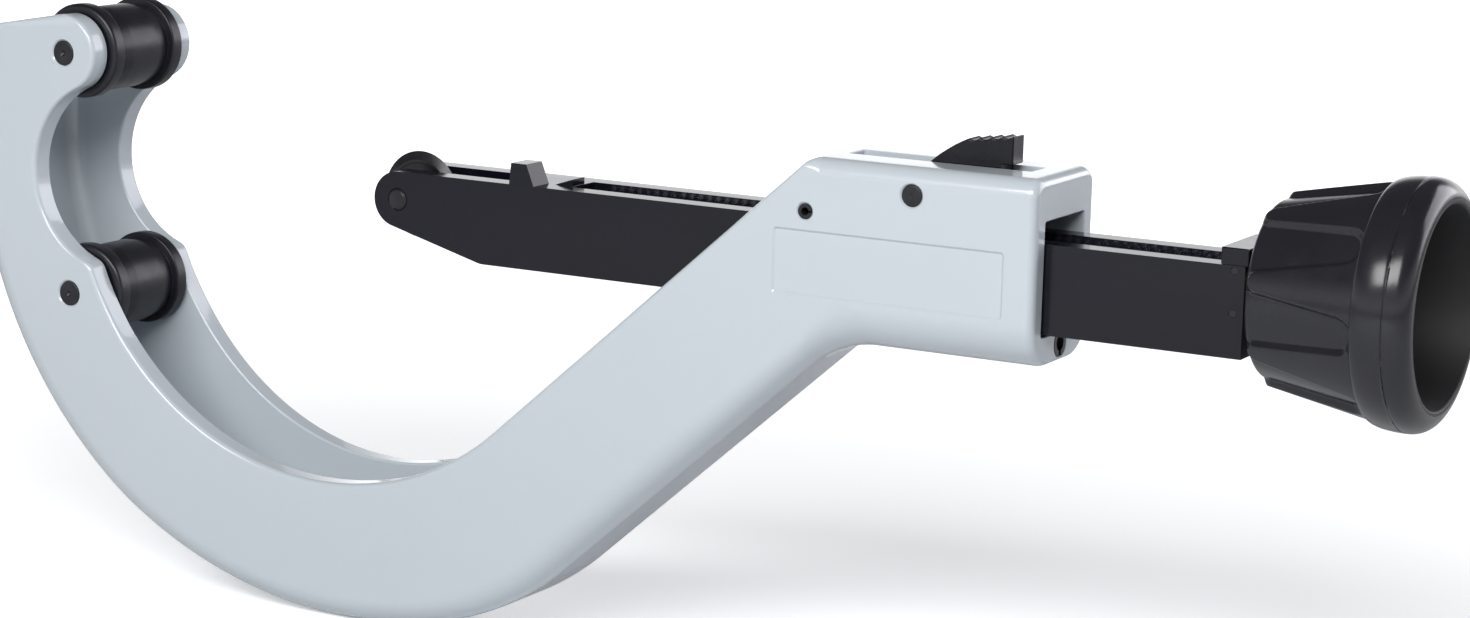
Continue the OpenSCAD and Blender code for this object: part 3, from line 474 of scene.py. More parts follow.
# Steps of the outline's ear, neck, bump, bow, knee, arm and head, and how much of the
# back's and the bow's turn lies before each change of step
STEPS = (30, 24, 10, 64, 20, 14, 20)
BACK_SHARES = (0.26, 0.28)
BOW_SHARE = 0.74


def chained(*runs):
    """Lists of points one after the other, without the ends that repeat."""
    out = list(runs[0])
    for r in runs[1:]:
        out += r[1:]
    return out


inner_edge = chained(
    arc(UPPER_PIN, EAR_R, 90 + HOOK_SLOPE, -NECK_LEAN, STEPS[0]),
    arc(NECK_C, NECK_R, 180 - NECK_LEAN, heading(BUMP_C - NECK_C), STEPS[1]),
    arc(BUMP_C, BUMP_R, heading(NECK_C - BUMP_C), heading(BOW_C - BUMP_C), STEPS[2]),
    arc(BOW_C, BOW_R, BOW_START, BOW_START + BOW_SHARE * BOW_TURN, STEPS[3]),
    arc(BOW_C, BOW_R, BOW_START + BOW_SHARE * BOW_TURN, 270 + ARM_ANGLE, STEPS[4]),
    line(BOW_END, BROW_C - BROW_R * ARM_OUT, STEPS[5]),
    arc(BROW_C, BROW_R, 90 + ARM_ANGLE, 90, STEPS[6]))
outer_edge = chained(
    arc(CORNER_C, CORNER_R, 90 + HOOK_SLOPE, CORNER_END, STEPS[0]),
    arc(BACK_C, BACK_R, CORNER_END, CORNER_END + BACK_SHARES[0] * BACK_TURN, STEPS[1]),
    arc(BACK_C, BACK_R, CORNER_END + BACK_SHARES[0] * BACK_TURN,
        CORNER_END + BACK_SHARES[1] * BACK_TURN, STEPS[2]),
    arc(BACK_C, BACK_R, CORNER_END + BACK_SHARES[1] * BACK_TURN, KNEE_START, STEPS[3]),
    arc(KNEE_C, KNEE_R, KNEE_START, 270 + ARM_ANGLE, STEPS[4]),
    line(ARM_EDGE, UNDER_C - UNDER_R * ARM_OUT, STEPS[5]),
    arc(UNDER_C, UNDER_R, 90 + ARM_ANGLE, 90, STEPS[6]))
ARM_FIRST = sum(STEPS[:5])
ARM_LAST = sum(STEPS[:6])


def half_between(a, b, x):
    """Half the width at x, which widens from a at the head to b at the hook."""
    share = min(max((-x + BOW_C.x + WIDEN_REAR) / (WIDEN_FRONT + WIDEN_REAR), 0), 1)
    return (a + (b - a) * share) / 2


def outer_fillet(k):
    """Fillet of the outer edge at step k of the outline."""
    if k <= ARM_FIRST:
        return BOW_FILLET + (ARM_FILLET - BOW_FILLET) * ease((k - ARM_FIRST) / STEPS[4] + 1)
    return ARM_FILLET + (HEAD_FILLET - ARM_FILLET) * min(max((k - ARM_LAST) / STEPS[6], 0), 1)


def lip_fillet(k):
    """Fillet of the inner edge at step k of the outline."""
    return LIP_FILLET + (TOP_FILLET - LIP_FILLET) * min(max((k - ARM_LAST) / STEPS[6], 0), 1)


def mirrored(side):
    """A ring of one side's points and their mirror images."""
    return side + [(x, -y, z) for x, y, z in reversed(side)]


def below_top(p):
    """Depth of a point under the hook's top edge."""
    return (corner_line + CORNER_R * TOP_UP - p).dot(TOP_UP)


def casting_ring(o, i, ro, ri, end=0):
    """One cross section of the casting, drawn in by end all round, but less below, where
    the guide tube lies."""
    d = (i - o).length
    u = (i - o) / d
    low = end * END_SHARE_BELOW
    half = [(low + (ro - end) * (1 - cosd(b)), end + (ro - end) * (1 - sind(b)))
            for b in quarter(10)]
    half += [(d - end - (ri - end) * (1 - sind(b)), end + (ri - end) * (1 - cosd(b)))
             for b in quarter(5)]
    side = []
    for along, down in half:
        p = o + along * u
        y = half_between(HEAD_W, HOOK_W, p.x)
        down = max(down, inset(below_top(p), LIP_FILLET))
        side.append((p.x, y - down, p.y))
    return mirrored(side)


def channel_ring(o, i):
    """One cross section of the channel, with its lip rounded off at the inner edge."""
    d = (i - o).length
    u = (i - o) / d
    r = CHANNEL_FILLET
    half = [(WEB_T + r * (1 - cosd(b)), r * (1 - sind(b))) for b in quarter(6)]
    turn = d - LIP_SHIFT * INNER_LIP
    half += [(turn + INNER_LIP * sind(b), -INNER_LIP * (1 - cosd(b))) for b in quarter(6)]
    half.append((d + OVER, -INNER_LIP))
    side = []
    for along, down in half:
        p = o + along * u
        e = inset(below_top(p) + TOP_CLEAR, INNER_LIP)
        if along < d / 2:
            p -= e * u
        y = half_between(PASSAGE_W, HOOK_GAP, p.x)
        side.append((p.x, y - down + (e if down >= 0 else 0), p.y))
    return mirrored(side)


def box_rings(lo, hi, r, flare=0, axis="x", flare_at=None):
    """Rings of a rounded box along an axis, which flares out by a rounded edge at its
    end, at flare_at."""
    a, b = {"x": (1, 2), "y": (0, 2), "z": (0, 1)}[axis]
    k = "xyz".index(axis)
    stations = [(lo[k], 0)]
    if flare_at is not None:
        sign = 1 if flare_at > (lo[k] + hi[k]) / 2 else -1
        steps = [(flare_at - sign * flare * (LIP_SHIFT - sind(t)), flare * (1 - cosd(t)))
                 for t in quarter(6)]
        if sign > 0:
            stations += steps + [(hi[k], flare)]
        else:
            stations = [(lo[k], flare)] + steps[::-1] + [(hi[k], 0)]
    else:
        stations.append((hi[k], 0))
    rings = []
    for at, grow in stations:
        ring = []
        for cx, cy, start in ((hi[a] - r, hi[b] - r, 0), (lo[a] + r, hi[b] - r, 90),
                              (lo[a] + r, lo[b] + r, 180), (hi[a] - r, lo[b] + r, 270)):
            for t in quarter(6):
                p = [0, 0, 0]
                p[k] = at
                p[a] = cx + (r + grow) * cosd(start + t)
                p[b] = cy + (r + grow) * sind(start + t)
                ring.append(tuple(p))
        rings.append(ring)
    return rings


def bore(name, p, r, half_w, flare=BORE_FLARE):
    """A cutter for a pin bore along y with broken edges at both ends."""
    profile = [(r + flare, -half_w - OVER), (r + flare, -half_w), (r, -half_w + flare),
               (r, half_w - flare), (r + flare, half_w), (r + flare, half_w + OVER)]
    return lathe(name, "y", (p[0], 0, p[1]), profile)


WEB_END_X = (ARM_EDGE.x - WEB_T * ARM_OUT.x
             + (FLOOR_Z - ARM_EDGE.y + WEB_T * ARM_OUT.y) * ARM_DIR.x / ARM_DIR.y)
CHANNEL_END = Vector((WEB_END_X, FLOOR_Z)) + WEB_T * ARM_OUT


def make_frame():
    rings = [casting_ring(outer_edge[k], inner_edge[k], outer_fillet(k), lip_fillet(k))
             for k in range(len(inner_edge))]
    for a in quarter(6):
        x = -END_ROUND * (1 - sind(a))
        rings.append(casting_ring(Vector((x, HEAD_BOTTOM)), Vector((x, HEAD_TOP)),
                                  HEAD_FILLET, TOP_FILLET,
                                  END_ROUND * (1 - cosd(a))))
    body = loft("frame_casting", rings)
    up = OVER * TOP_UP
    mid = [((outer_edge[k] + outer_edge[k + 1]) / 2, (inner_edge[k] + inner_edge[k + 1]) / 2)
           for k in range(ARM_FIRST + 1)]
    channel = loft("channel", [channel_ring(outer_edge[0] + up, inner_edge[0] + up)]
                   + [channel_ring(o, i) for o, i in mid]
                   + [channel_ring(CHANNEL_END, CHANNEL_END - ARM_DEPTH * ARM_OUT)])
    w = PASSAGE_W / 2
    passage = loft("passage", box_rings((CHANNEL_END.x - ARM_DEPTH, -w, FLOOR_Z),
                                        (OVER, w, ROOF_Z), PASSAGE_CORNER,
                                        PASSAGE_FLARE, flare_at=0))
    s = LEVER_SLOT_W / 2
    slot = loft("slot", box_rings((SLOT_FRONT, -s, POCKET_Z), (SLOT_REAR, s, HEAD_TOP + OVER),
                                  SLOT_CORNER, SLOT_FLARE, axis="z", flare_at=HEAD_TOP))
    well = loft("well", box_rings((SLOT_FRONT, -s, ROOF_Z - OVER),
                                  (POCKET_FRONT, s, POCKET_Z + OVER / 2), SLOT_CORNER,
                                  axis="z"))
    (x0, x1), (z0, z1), g = PANEL_X, PANEL_Z, PANEL_SLOPE
    side = -HEAD_W / 2
    panel = loft("panel", box_rings((x0 - g, side - OVER, z0 - g), (x1 + g, side, z1 + g),
                                    PANEL_CORNER + g, axis="y")
                 + box_rings((x0, side, z0), (x1, side + PANEL_DEEP, z1),
                             PANEL_CORNER, axis="y")[1:])
    guide_end = GUIDE_R + GUIDE_CHAMFER
    guide = lathe("guide", "x", (0, 0, GUIDE_Z), [
        (GUIDE_R, -GUIDE_LEN), (GUIDE_R, -GUIDE_CHAMFER), (guide_end, 0),
        (guide_end, OVER)], n=64)
    bores = [bore("bore", p, d / 2 + SEAT, w / 2) for p, d, w in (
        (UPPER_PIN, ROLLER_PIN_D, HOOK_W), (LOWER_PIN, ROLLER_PIN_D, HOOK_W),
        (PIVOT, PIVOT_D, HEAD_W), (ROLL_PIN, ROLL_PIN_D, HEAD_W))]
    cut(body, channel, passage, slot, well, panel, guide, *bores)
    smooth(body)
    return finish_piece(body, "frame_body", "frame_paint", "frame")


make_frame()

# Pins of the frame
ROLLER_MARK_R = 1
PIVOT_MARK_R = 0.3
PIN_RECESS = 0.1
PIN_CHAMFER = 0.5


def flush_pin(name, p, d, w, slot_name, mark):
    """A headless pin across the frame, with rounded rims and centre marks in its ends."""
    h, r, rim = w / 2 - PIN_RECESS, d / 2, mark / 10
    half = [(AXIS_R, h - mark + rim), (mark - rim, h - rim), (mark + rim, h)]
    half += [(r - PIN_CHAMFER + PIN_CHAMFER * sind(a), h - PIN_CHAMFER * (1 - cosd(a)))
             for a in quarter(5)]
    profile = half + [(x, -y) for x, y in reversed(half)]
    obj = lathe(name, "y", (p[0], 0, p[1]), profile, n=64)
    smooth(obj, angle=40, weighted=False)
    return finish_piece(obj, "frame_body", "pin_steel", slot_name)


flush_pin("upper_pin", UPPER_PIN, ROLLER_PIN_D, HOOK_W, "upper_roller_pin", ROLLER_MARK_R)
flush_pin("lower_pin", LOWER_PIN, ROLLER_PIN_D, HOOK_W, "lower_roller_pin", ROLLER_MARK_R)
flush_pin("pivot_pin", PIVOT, PIVOT_D, HEAD_W, "lever_pivot_pin", PIVOT_MARK_R)

# Rollers: a barrel with a relief beside each flange, and a dish in each end. SOFT is how
# far a bend is drawn out to both sides
ROLLER_GAP = 0.3
ROLLER_W = HOOK_GAP - 2 * ROLLER_GAP
BARREL_R = 13.6
RELIEF = 0.9
RELIEF_LEN = 6
FLANGE_R = 15.1
FLANGE_T = 5
INNER_RIM = 0.5
OUTER_RIM = 1.3
DISH_OUT = 3.2
DISH_IN = 2.3
DISH_DEEP = 0.25
ROLLER_CHAMFER = 0.3
SOFT = 0.1


def make_roller(name, p, node):
    h = ROLLER_W / 2
    bore_r = ROLLER_PIN_D / 2 + PLAY
    foot = h - FLANGE_T
    bend = foot - RELIEF_LEN
    fall = SOFT * RELIEF / RELIEF_LEN
    half = [(BARREL_R, 2 * SOFT), (BARREL_R, bend - SOFT), (BARREL_R - fall, bend + SOFT),
            (BARREL_R - RELIEF + fall, foot - SOFT), (BARREL_R - RELIEF + SOFT, foot)]
    half += [(FLANGE_R - INNER_RIM + INNER_RIM * sind(a), foot + INNER_RIM - INNER_RIM * cosd(a))
             for a in quarter(6)]
    half += [(FLANGE_R - OUTER_RIM + OUTER_RIM * cosd(a), h - OUTER_RIM + OUTER_RIM * sind(a))
             for a in quarter(9)]
    half += [(FLANGE_R - DISH_OUT, h), (FLANGE_R - DISH_OUT - ROLLER_CHAMFER, h - DISH_DEEP),
             (bore_r + DISH_IN + ROLLER_CHAMFER, h - DISH_DEEP), (bore_r + DISH_IN, h),
             (bore_r + ROLLER_CHAMFER, h), (bore_r, h - ROLLER_CHAMFER)]
    profile = [(r, -y) for r, y in reversed(half)] + half
    obj = lathe(name, "y", (p[0], 0, p[1]), profile, n=128, ring_shaped=True)
    smooth(obj, angle=40, weighted=False)
    return finish_piece(obj, node + "_body", "roller_black", node)


make_roller("roller_upper", UPPER_PIN, "upper_roller")
make_roller("roller_lower", LOWER_PIN, "lower_roller")

# Slide with its groove and fork, and the holes for what it carries
AXLE = Vector((-216.3, -1.3))
AXLE_D = 6.5
AXLE_FLARE = 0.25
SLIDE_W = 26
SLIDE_TOP = 7.3
SLIDE_H = 25.5
SLIDE_BOTTOM = SLIDE_TOP - SLIDE_H
SLIDE_OUT = 58.4
SLIDE_EDGE = 0.35
NOSE_R = SLIDE_TOP - AXLE.y
CHIN = Vector((AXLE.x + 30.3, SLIDE_BOTTOM))
CHIN_R = 9
GROOVE_W = 12.8
GROOVE_Z = -7.2
GROOVE_CORNER = 0.3
WHEEL_R = 13.5
STOP_FRONT = -179
STOP_SCREW_X = STOP_FRONT + GROOVE_W / 3
STOP_SCREW_D = GROOVE_W / 3
REAR_JOURNAL_R = 4.5
END_BLOCK_FRONT = 51.3125
END_BLOCK_LEN = 8.1
END_PIN_D = 2
END_PIN_FLARE = 0.1
END_PIN_X = END_BLOCK_FRONT + END_BLOCK_LEN / 2
END_PIN_GAP = 0.3
END_PIN_Z = REAR_JOURNAL_R + END_PIN_D / 2 + SEAT + END_PIN_GAP


def extruded(name, outline, w):
    """A plate of an outline in x and z, w thick, about the middle plane."""
    return loft(name, [[(p[0], y, p[1]) for p in outline] for y in (-w / 2, w / 2)])


def make_slide():
    chin_turn = heading(CHIN - AXLE) - math.degrees(math.acos(NOSE_R / (CHIN - AXLE).length))
    touch = AXLE + NOSE_R * turned_to(chin_turn)
    down = (CHIN - touch).normalized()
    bend = math.degrees(math.acos(down.x))
    run = CHIN_R * math.tan(math.radians(bend / 2))
    chin_c = Vector((CHIN.x + run, SLIDE_BOTTOM + CHIN_R))
    outline = arc(AXLE, NOSE_R, 90, chin_turn if chin_turn > 90 else chin_turn + 360, 40)
    outline += arc(chin_c, CHIN_R, 270 - bend, 270, 8)
    outline += [Vector((SLIDE_OUT, SLIDE_BOTTOM)), Vector((SLIDE_OUT, SLIDE_TOP))]
    body = extruded("slide_bar", outline, SLIDE_W)
    g = GROOVE_W / 2
    front = AXLE.x - NOSE_R - OVER
    groove = loft("groove", box_rings((front, -g, GROOVE_Z),
                                      (SLIDE_OUT + OVER, g, SLIDE_TOP + OVER), GROOVE_CORNER))
    fork = loft("fork", box_rings((front, -g, SLIDE_BOTTOM - OVER),
                                  (AXLE.x + WHEEL_R + OVER, g, SLIDE_TOP + OVER),
                                  GROOVE_CORNER, axis="z"))
    holes = [bore("hole", AXLE, AXLE_D / 2 + SEAT, SLIDE_W / 2, AXLE_FLARE)]
    holes += [bore("hole", (END_PIN_X, s * END_PIN_Z), END_PIN_D / 2 + SEAT, SLIDE_W / 2,
                   END_PIN_FLARE) for s in (-1, 1)]
    deep = STOP_SCREW_D + SLIDE_BOTTOM
    screw_hole = lathe("screw_hole", "z", (STOP_SCREW_X, 0, 0), [
        (STOP_SCREW_D + SEAT, SLIDE_BOTTOM - OVER), (STOP_SCREW_D + SEAT, deep),
        (STOP_SCREW_D / 2 + SEAT, deep), (STOP_SCREW_D / 2 + SEAT, GROOVE_Z + OVER)], n=48)
    cut(body, groove, fork, screw_hole, *holes)
    bevel(body, SLIDE_EDGE, segments=2)
    smooth(body, angle=40)
    return finish_piece(body, "slide_body", "slide_black", "slide")


make_slide()

# Cutting wheel: a ground edge, a band behind it, a thinner disc and a hub
BUSH_WALL = 1.4
WHEEL_BORE_R = AXLE_D / 2 + PLAY + BUSH_WALL + SEAT
HUB_HALF = 3.8
HUB_R = 7
HUB_FOOT = 0.4
HUB_EDGE = 0.3
HUB_BORE_EDGE = 0.2
DISC_HALF = 1.6
DISC_SINK = 0.15
EDGE_BLUNT = Vector((0.06, 0.04))
EDGE_LEN = 2.5
BAND_LEN = 0.9
BAND_STEP = 0.2


def make_wheel():
    h, t, r = HUB_HALF, DISC_HALF, WHEEL_R
    sunk = t - DISC_SINK
    band = r - EDGE_LEN
    half = [(r - EDGE_BLUNT.x, EDGE_BLUNT.y), (band + SOFT, t - SOFT), (band, t),
            (band - BAND_LEN, t), (band - BAND_LEN - BAND_STEP, sunk),
            (HUB_R + 2 * HUB_FOOT, sunk), (HUB_R + HUB_FOOT, t), (HUB_R, t + HUB_FOOT),
            (HUB_R, h - HUB_EDGE), (HUB_R - HUB_EDGE, h), (WHEEL_BORE_R + HUB_BORE_EDGE, h),
            (WHEEL_BORE_R, h - HUB_BORE_EDGE)]
    profile = [(a, -b) for a, b in reversed(half)] + [(r, 0)] + half
    obj = lathe("wheel_disc", "y", (AXLE.x, 0, AXLE.y), profile, n=160, ring_shaped=True)
    smooth(obj, angle=30, weighted=False)
    return finish_piece(obj, "wheel_body", "wheel_steel", "cutter_wheel")


make_wheel()

# Feed screw with a true trapezoidal helix, and where the knob and its nut stand on it
FEED_AXIS = (0, 0, 0)
PITCH = 3
THREAD_R = 6
ROOT_R = 4.6
ROOT_SHARE = 0.66
FLANK_SHARE = 0.3
THREAD_FRONT = -157.7
THREAD_REAR = 51.0125
THREAD_SIDES = 40
THREAD_STEPS = 12
RUNOUT = 0.5
JOURNAL_FRONT = -168.7
JOURNAL_R = 4
TIP_R = 0.3
TIP_CHAMFER = 0.5
TAIL_CHAMFER = 0.6
SHOULDER = 0.1
KNOB_FRONT = 62.4525
KNOB_LEN = 48
KNOB_REAR = KNOB_FRONT + KNOB_LEN
KNOB_WALL = 11
CUP_FLOOR = KNOB_FRONT + KNOB_WALL
BOSS_LEN = 5
WASHER_T = 1.5
NUT_H = 6.5
NUT_FRONT = CUP_FLOOR + BOSS_LEN + WASHER_T + 2 * SEAT
SCREW_REAR = NUT_FRONT + NUT_H + PITCH / 2


def thread_share(t):
    """Height of the thread over its root, 0 to 1, at a share t of the pitch."""
    t = abs(t % 1 - 0.5) * 2
    return ease((ROOT_SHARE - t) / FLANK_SHARE)


def make_screw():
    n = THREAD_SIDES
    length = THREAD_REAR - THREAD_FRONT
    steps = int(length / PITCH * THREAD_STEPS)
    rings = turned_rings("x", FEED_AXIS, [
        (TIP_R, JOURNAL_FRONT), (JOURNAL_R - TIP_CHAMFER, JOURNAL_FRONT),
        (JOURNAL_R, JOURNAL_FRONT + TIP_CHAMFER), (JOURNAL_R, THREAD_FRONT - SHOULDER / 2),
        (ROOT_R, THREAD_FRONT)], n)
    for k in range(1, steps):
        x = THREAD_FRONT + length * k / steps
        fade = min(ease((x - THREAD_FRONT - RUNOUT) / PITCH),
                   ease((THREAD_REAR - x - RUNOUT) / PITCH))
        high = (THREAD_R - ROOT_R) * fade
        rings.append([circle_point("x", FEED_AXIS, ROOT_R + high * thread_share(x / PITCH + j / n),
                                   x, 360 * j / n) for j in range(n)])
    rings += turned_rings("x", FEED_AXIS, [
        (ROOT_R, THREAD_REAR), (ROOT_R, THREAD_REAR + SHOULDER),
        (REAR_JOURNAL_R, THREAD_REAR + 2 * SHOULDER), (REAR_JOURNAL_R, CUP_FLOOR),
        (JOURNAL_R, CUP_FLOOR + SHOULDER), (JOURNAL_R, SCREW_REAR - TAIL_CHAMFER),
        (JOURNAL_R - TAIL_CHAMFER, SCREW_REAR), (TIP_R, SCREW_REAR)], n)
    obj = loft("screw_thread", rings)
    smooth(obj, angle=50, weighted=False)
    return finish_piece(obj, "screw_body", "bright_steel", "feed_screw")


make_screw()

# Knob: lands and flutes run over its cone, and a rounded rim ends it
KNOB_R = 34.5
WAIST_R = 32.3
FRONT_R = 26.3
FLUTE = 2
CHAMFER = 1.6
FACE_EDGE = 0.4
FACE_GAP = 0.001
BORE_EDGE = 0.3
RIM_FRONT = KNOB_REAR - 16
RIM_RISE = 8.3
MOUTH_R = 28.4
MOUTH_EDGE = 0.8
RIM_ROUND = KNOB_R - MOUTH_R
CUP_R = 21
BOSS_R = 9.1
BOSS_FOOT = 0.8
BOSS_EDGE = 0.5
DRIVE_PIN_D = 3
KNOB_SIDES = 640
CONE_STEPS = 96
CUP_STEPS = 9

# Knob: the lands, whose outline widens from a round front end
LAND_START = KNOB_FRONT + CHAMFER / 2
LAND_FRONT_R = 3.2
LAND_REAR_R = 8.4
LAND_STEP = 45
LAND_PHASE = 0.71
LAND_BLEND = 4.5
LAND_FLANK = 1.7

# Knob: the mould's seam, as (x, share of its height) points, and its rough spots' angles
SEAM_H = 0.12
SEAM_WANDER = 0.12
SEAM_PROFILE = ((-0.25, 0), (-0.12, 0.8), (0, 1), (0.1, -2.2), (0.35, -2.2), (0.45, 0))
SEAM_SPOTS = (52, 100, 231, 239, 244, 249, 256, 301)
SPOT_SPREAD = 3
SEAM_MEAN, SEAM_WAVE, SEAM_ROUGH = 0.45, 0.15, 0.4
SEAM_WAVES = 11
SEAM_LAG = 7

# Knob: the dull finish and the painted shade inside the cup, and how far they reach into the wall
# the cup's base colour is painted shade for the shaded inside of the cup; its roughness is the
# dull moulding
CUP_SHADE_COLOR = (0.013, 0.013, 0.0145, 1)
DULL_ROUGH = 0.6
DULL_AND_SHADE_DEPTH = 0.5


def soft_min(a, b, k):
    """The lesser of a and b, rounded off where they are within k of each other."""
    h = max(k - abs(a - b), 0) / k
    return min(a, b) - h * h * k / 4


def land_distance(x, s):
    """Signed distance to a land's outline, in the plane of x and arc length s."""
    s = abs(s)
    x0, x1 = LAND_START + LAND_FRONT_R, RIM_FRONT + CHAMFER
    if x < x0:
        return math.hypot(x - x0, s) - LAND_FRONT_R
    slope = (LAND_REAR_R - LAND_FRONT_R) / (x1 - x0)
    return (s - LAND_FRONT_R - slope * (x - x0)) / math.sqrt(1 + slope * slope)


def knob_radius(x, a):
    """Radius of the knob's outside at x, and at angle a from the top towards +y."""
    base = FRONT_R - FLUTE + (WAIST_R - FRONT_R) * (x - KNOB_FRONT) / (RIM_FRONT - KNOB_FRONT)
    top = FRONT_R + (WAIST_R - FRONT_R) * (x - LAND_START) / (RIM_FRONT - LAND_START)
    if x < KNOB_FRONT + CHAMFER:
        base -= CHAMFER - math.sqrt(max(CHAMFER ** 2 - (KNOB_FRONT + CHAMFER - x) ** 2, 0))
    turn = (a + LAND_PHASE * LAND_STEP) % LAND_STEP
    turn = min(turn, LAND_STEP - turn)
    d = land_distance(x, math.radians(turn) * top)
    d = soft_min(d, RIM_FRONT - x, LAND_BLEND)
    return base + (top - base) * ease(0.5 - d / LAND_FLANK)


def seam_share(a):
    """How strongly the mould's seam stands out at an angle."""
    spots = sum(math.exp(-((a - at + 180) % 360 - 180) ** 2 / SPOT_SPREAD) for at in SEAM_SPOTS)
    return SEAM_MEAN + SEAM_WAVE * sind(SEAM_WAVES * a) + SEAM_ROUGH * min(spots, 1)


def knob_rings(angles):
    """Rings over the knob's outside, down into its cup and back through its bore."""
    n = len(angles)
    bore_r = REAR_JOURNAL_R + SEAT
    rings = turned_rings("x", FEED_AXIS, [
        (bore_r, KNOB_FRONT + BORE_EDGE), (bore_r + BORE_EDGE, KNOB_FRONT),
        (FRONT_R - FLUTE - CHAMFER - FACE_EDGE, KNOB_FRONT)], n)
    cone_len = RIM_FRONT - KNOB_FRONT - CHAMFER
    xs = [KNOB_FRONT + CHAMFER * (1 - cosd(b)) + FACE_GAP for b in quarter(6)]
    xs += [KNOB_FRONT + CHAMFER + cone_len * k / CONE_STEPS for k in range(1, CONE_STEPS + 1)]
    rings += [[circle_point("x", FEED_AXIS, knob_radius(x, a), x, a) for a in angles] for x in xs]
    rim_r = KNOB_R - SEAM_H
    rings += turned_rings("x", FEED_AXIS, [
        (WAIST_R + (rim_r - WAIST_R) * sind(b), RIM_FRONT + RIM_RISE * (1 - cosd(b)))
        for b in quarter(16)[1:]], n)
    seam = RIM_FRONT + RIM_RISE + CHAMFER / 2
    rings += [[circle_point("x", FEED_AXIS, rim_r + dr * SEAM_H * seam_share(a),
                            seam + dx + SEAM_WANDER * seam_share(a + SEAM_LAG), a) for a in angles]
              for dx, dr in SEAM_PROFILE]
    profile = [(rim_r - (RIM_ROUND - SEAM_H) * (1 - cosd(b)),
                KNOB_REAR - RIM_ROUND * (1 - sind(b))) for b in quarter(18)]
    profile += [(MOUTH_R - MOUTH_EDGE * sind(b), KNOB_REAR - MOUTH_EDGE * (1 - cosd(b)))
                for b in quarter(6)[1:]]
    profile += line(Vector((MOUTH_R - MOUTH_EDGE, KNOB_REAR - MOUTH_EDGE)),
                    Vector((CUP_R, CUP_FLOOR + CHAMFER)), CUP_STEPS)[1:-1]
    profile += [(CUP_R - CHAMFER * (1 - cosd(b)), CUP_FLOOR + CHAMFER * (1 - sind(b)))
                for b in quarter(6)]
    profile += [(BOSS_R + BOSS_FOOT * (1 - cosd(b)), CUP_FLOOR + BOSS_FOOT * (1 - sind(b)))
                for b in reversed(quarter(3))]
    boss_end = CUP_FLOOR + BOSS_LEN
    profile += [(BOSS_R, boss_end - BOSS_EDGE), (BOSS_R - BOSS_EDGE, boss_end),
                (bore_r, boss_end)]
    return rings + turned_rings("x", FEED_AXIS, profile, n)


def make_knob():
    angles = [360 * j / KNOB_SIDES for j in range(KNOB_SIDES)]
    obj = loft("knob_shell", knob_rings(angles), ring_shaped=True)
    drive_r, reach = DRIVE_PIN_D / 2 + SEAT, BOSS_R * 3 / 2
    cut(obj, lathe("drive", "z", (CUP_FLOOR + BOSS_LEN / 2, 0, 0),
                   [(drive_r, -reach), (drive_r, reach)], n=32))
    smooth(obj, angle=50, weighted=False)
    return finish_piece(obj, "screw_body", "knob_plastic", "knob")


def dull_and_shaded_cup(mat):
    """Makes the cup inside the knob a dull moulding, unlike the polished outside, with a dark base
    colour that is painted shade.
    """
    tree = mat.node_tree
    shader = next(n for n in tree.nodes if n.type == "BSDF_PRINCIPLED")
    coords = tree.nodes.new("ShaderNodeTexCoord")
    split = tree.nodes.new("ShaderNodeSeparateXYZ")
    tree.links.new(coords.outputs["Object"], split.inputs[0])
    x, y, z = split.outputs
    up = calc(tree, "SUBTRACT", z, AXIS_Z)
    radius = calc(tree, "SQRT", calc(tree, "ADD", calc(tree, "MULTIPLY", up, up),
                                     calc(tree, "MULTIPLY", y, y)), 0)
    slope = (MOUTH_R - CUP_R) / (KNOB_LEN - KNOB_WALL)
    behind_floor = calc(tree, "SUBTRACT", x, place((CUP_FLOOR, 0, 0))[0])
    wall = calc(tree, "ADD", calc(tree, "MULTIPLY", behind_floor, slope),
                (CUP_R + DULL_AND_SHADE_DEPTH) * MM)
    inside = calc(tree, "LESS_THAN", radius, wall)
    # the base colour set here is painted shade, the roughness is the dull moulding
    for name, cup_value, kind, (first, second, out) in (
            ("Base Color", CUP_SHADE_COLOR, "RGBA", (6, 7, 2)),
            ("Roughness", DULL_ROUGH, "FLOAT", (2, 3, 0))):
        source = shader.inputs[name].links[0].from_socket
        mix = tree.nodes.new("ShaderNodeMix")
        mix.data_type = kind
        mix.inputs[second].default_value = cup_value
        tree.links.new(inside, mix.inputs[0])
        tree.links.new(source, mix.inputs[first])
        tree.links.new(mix.outputs[out], shader.inputs[name])


make_knob()
# painted shade and a dull moulding inside the knob's cup
dull_and_shaded_cup(materials["knob_plastic"])

# Thumb lever: a body on the pivot, and the pad with its scallops
LEVER_W = 9
LEVER_EDGE = 0.25
BOSS = 5.8
PAD_BACK = 23
PAD_W = 7.8
PAD_H = 9.3
PAD_CORNER = 0.8
PAD_EDGE = 0.5
PAD_REAR = PIVOT.x + PAD_BACK
PAD_FRONT = PIVOT.x + 0.4 * PAD_BACK
PAD_TIP_X = PIVOT.x - 2.7
PAD_TOP = HEAD_TOP + PAD_H
PAD_BOTTOM = HEAD_TOP - (HEAD_TOP - ROOF_Z) / 3
BODY_TOP = HEAD_TOP - 0.3
ARM_TOP = BODY_TOP - PAD_H / 2
HEEL_X = PAD_REAR - 3.4
HEEL_Z = HEAD_TOP + PAD_H / 10
HEEL_STEP = 0.01
LEVER_FRONT = PIVOT.x - 23.6
PIVOT_FLARE = 0.2

# Thumb lever: scallops and ramp of the pad
SCALLOPS = 4
SCALLOP_RISE = PAD_H / 5
SCALLOP_DEPTH = SCALLOP_RISE / 3
SCALLOP_POWER = 0.8
SCALLOP_STEPS = 12
RAMP_R = 45
RAMP_STEPS = 24
RAMP_START = PAD_TIP_X + 0.15

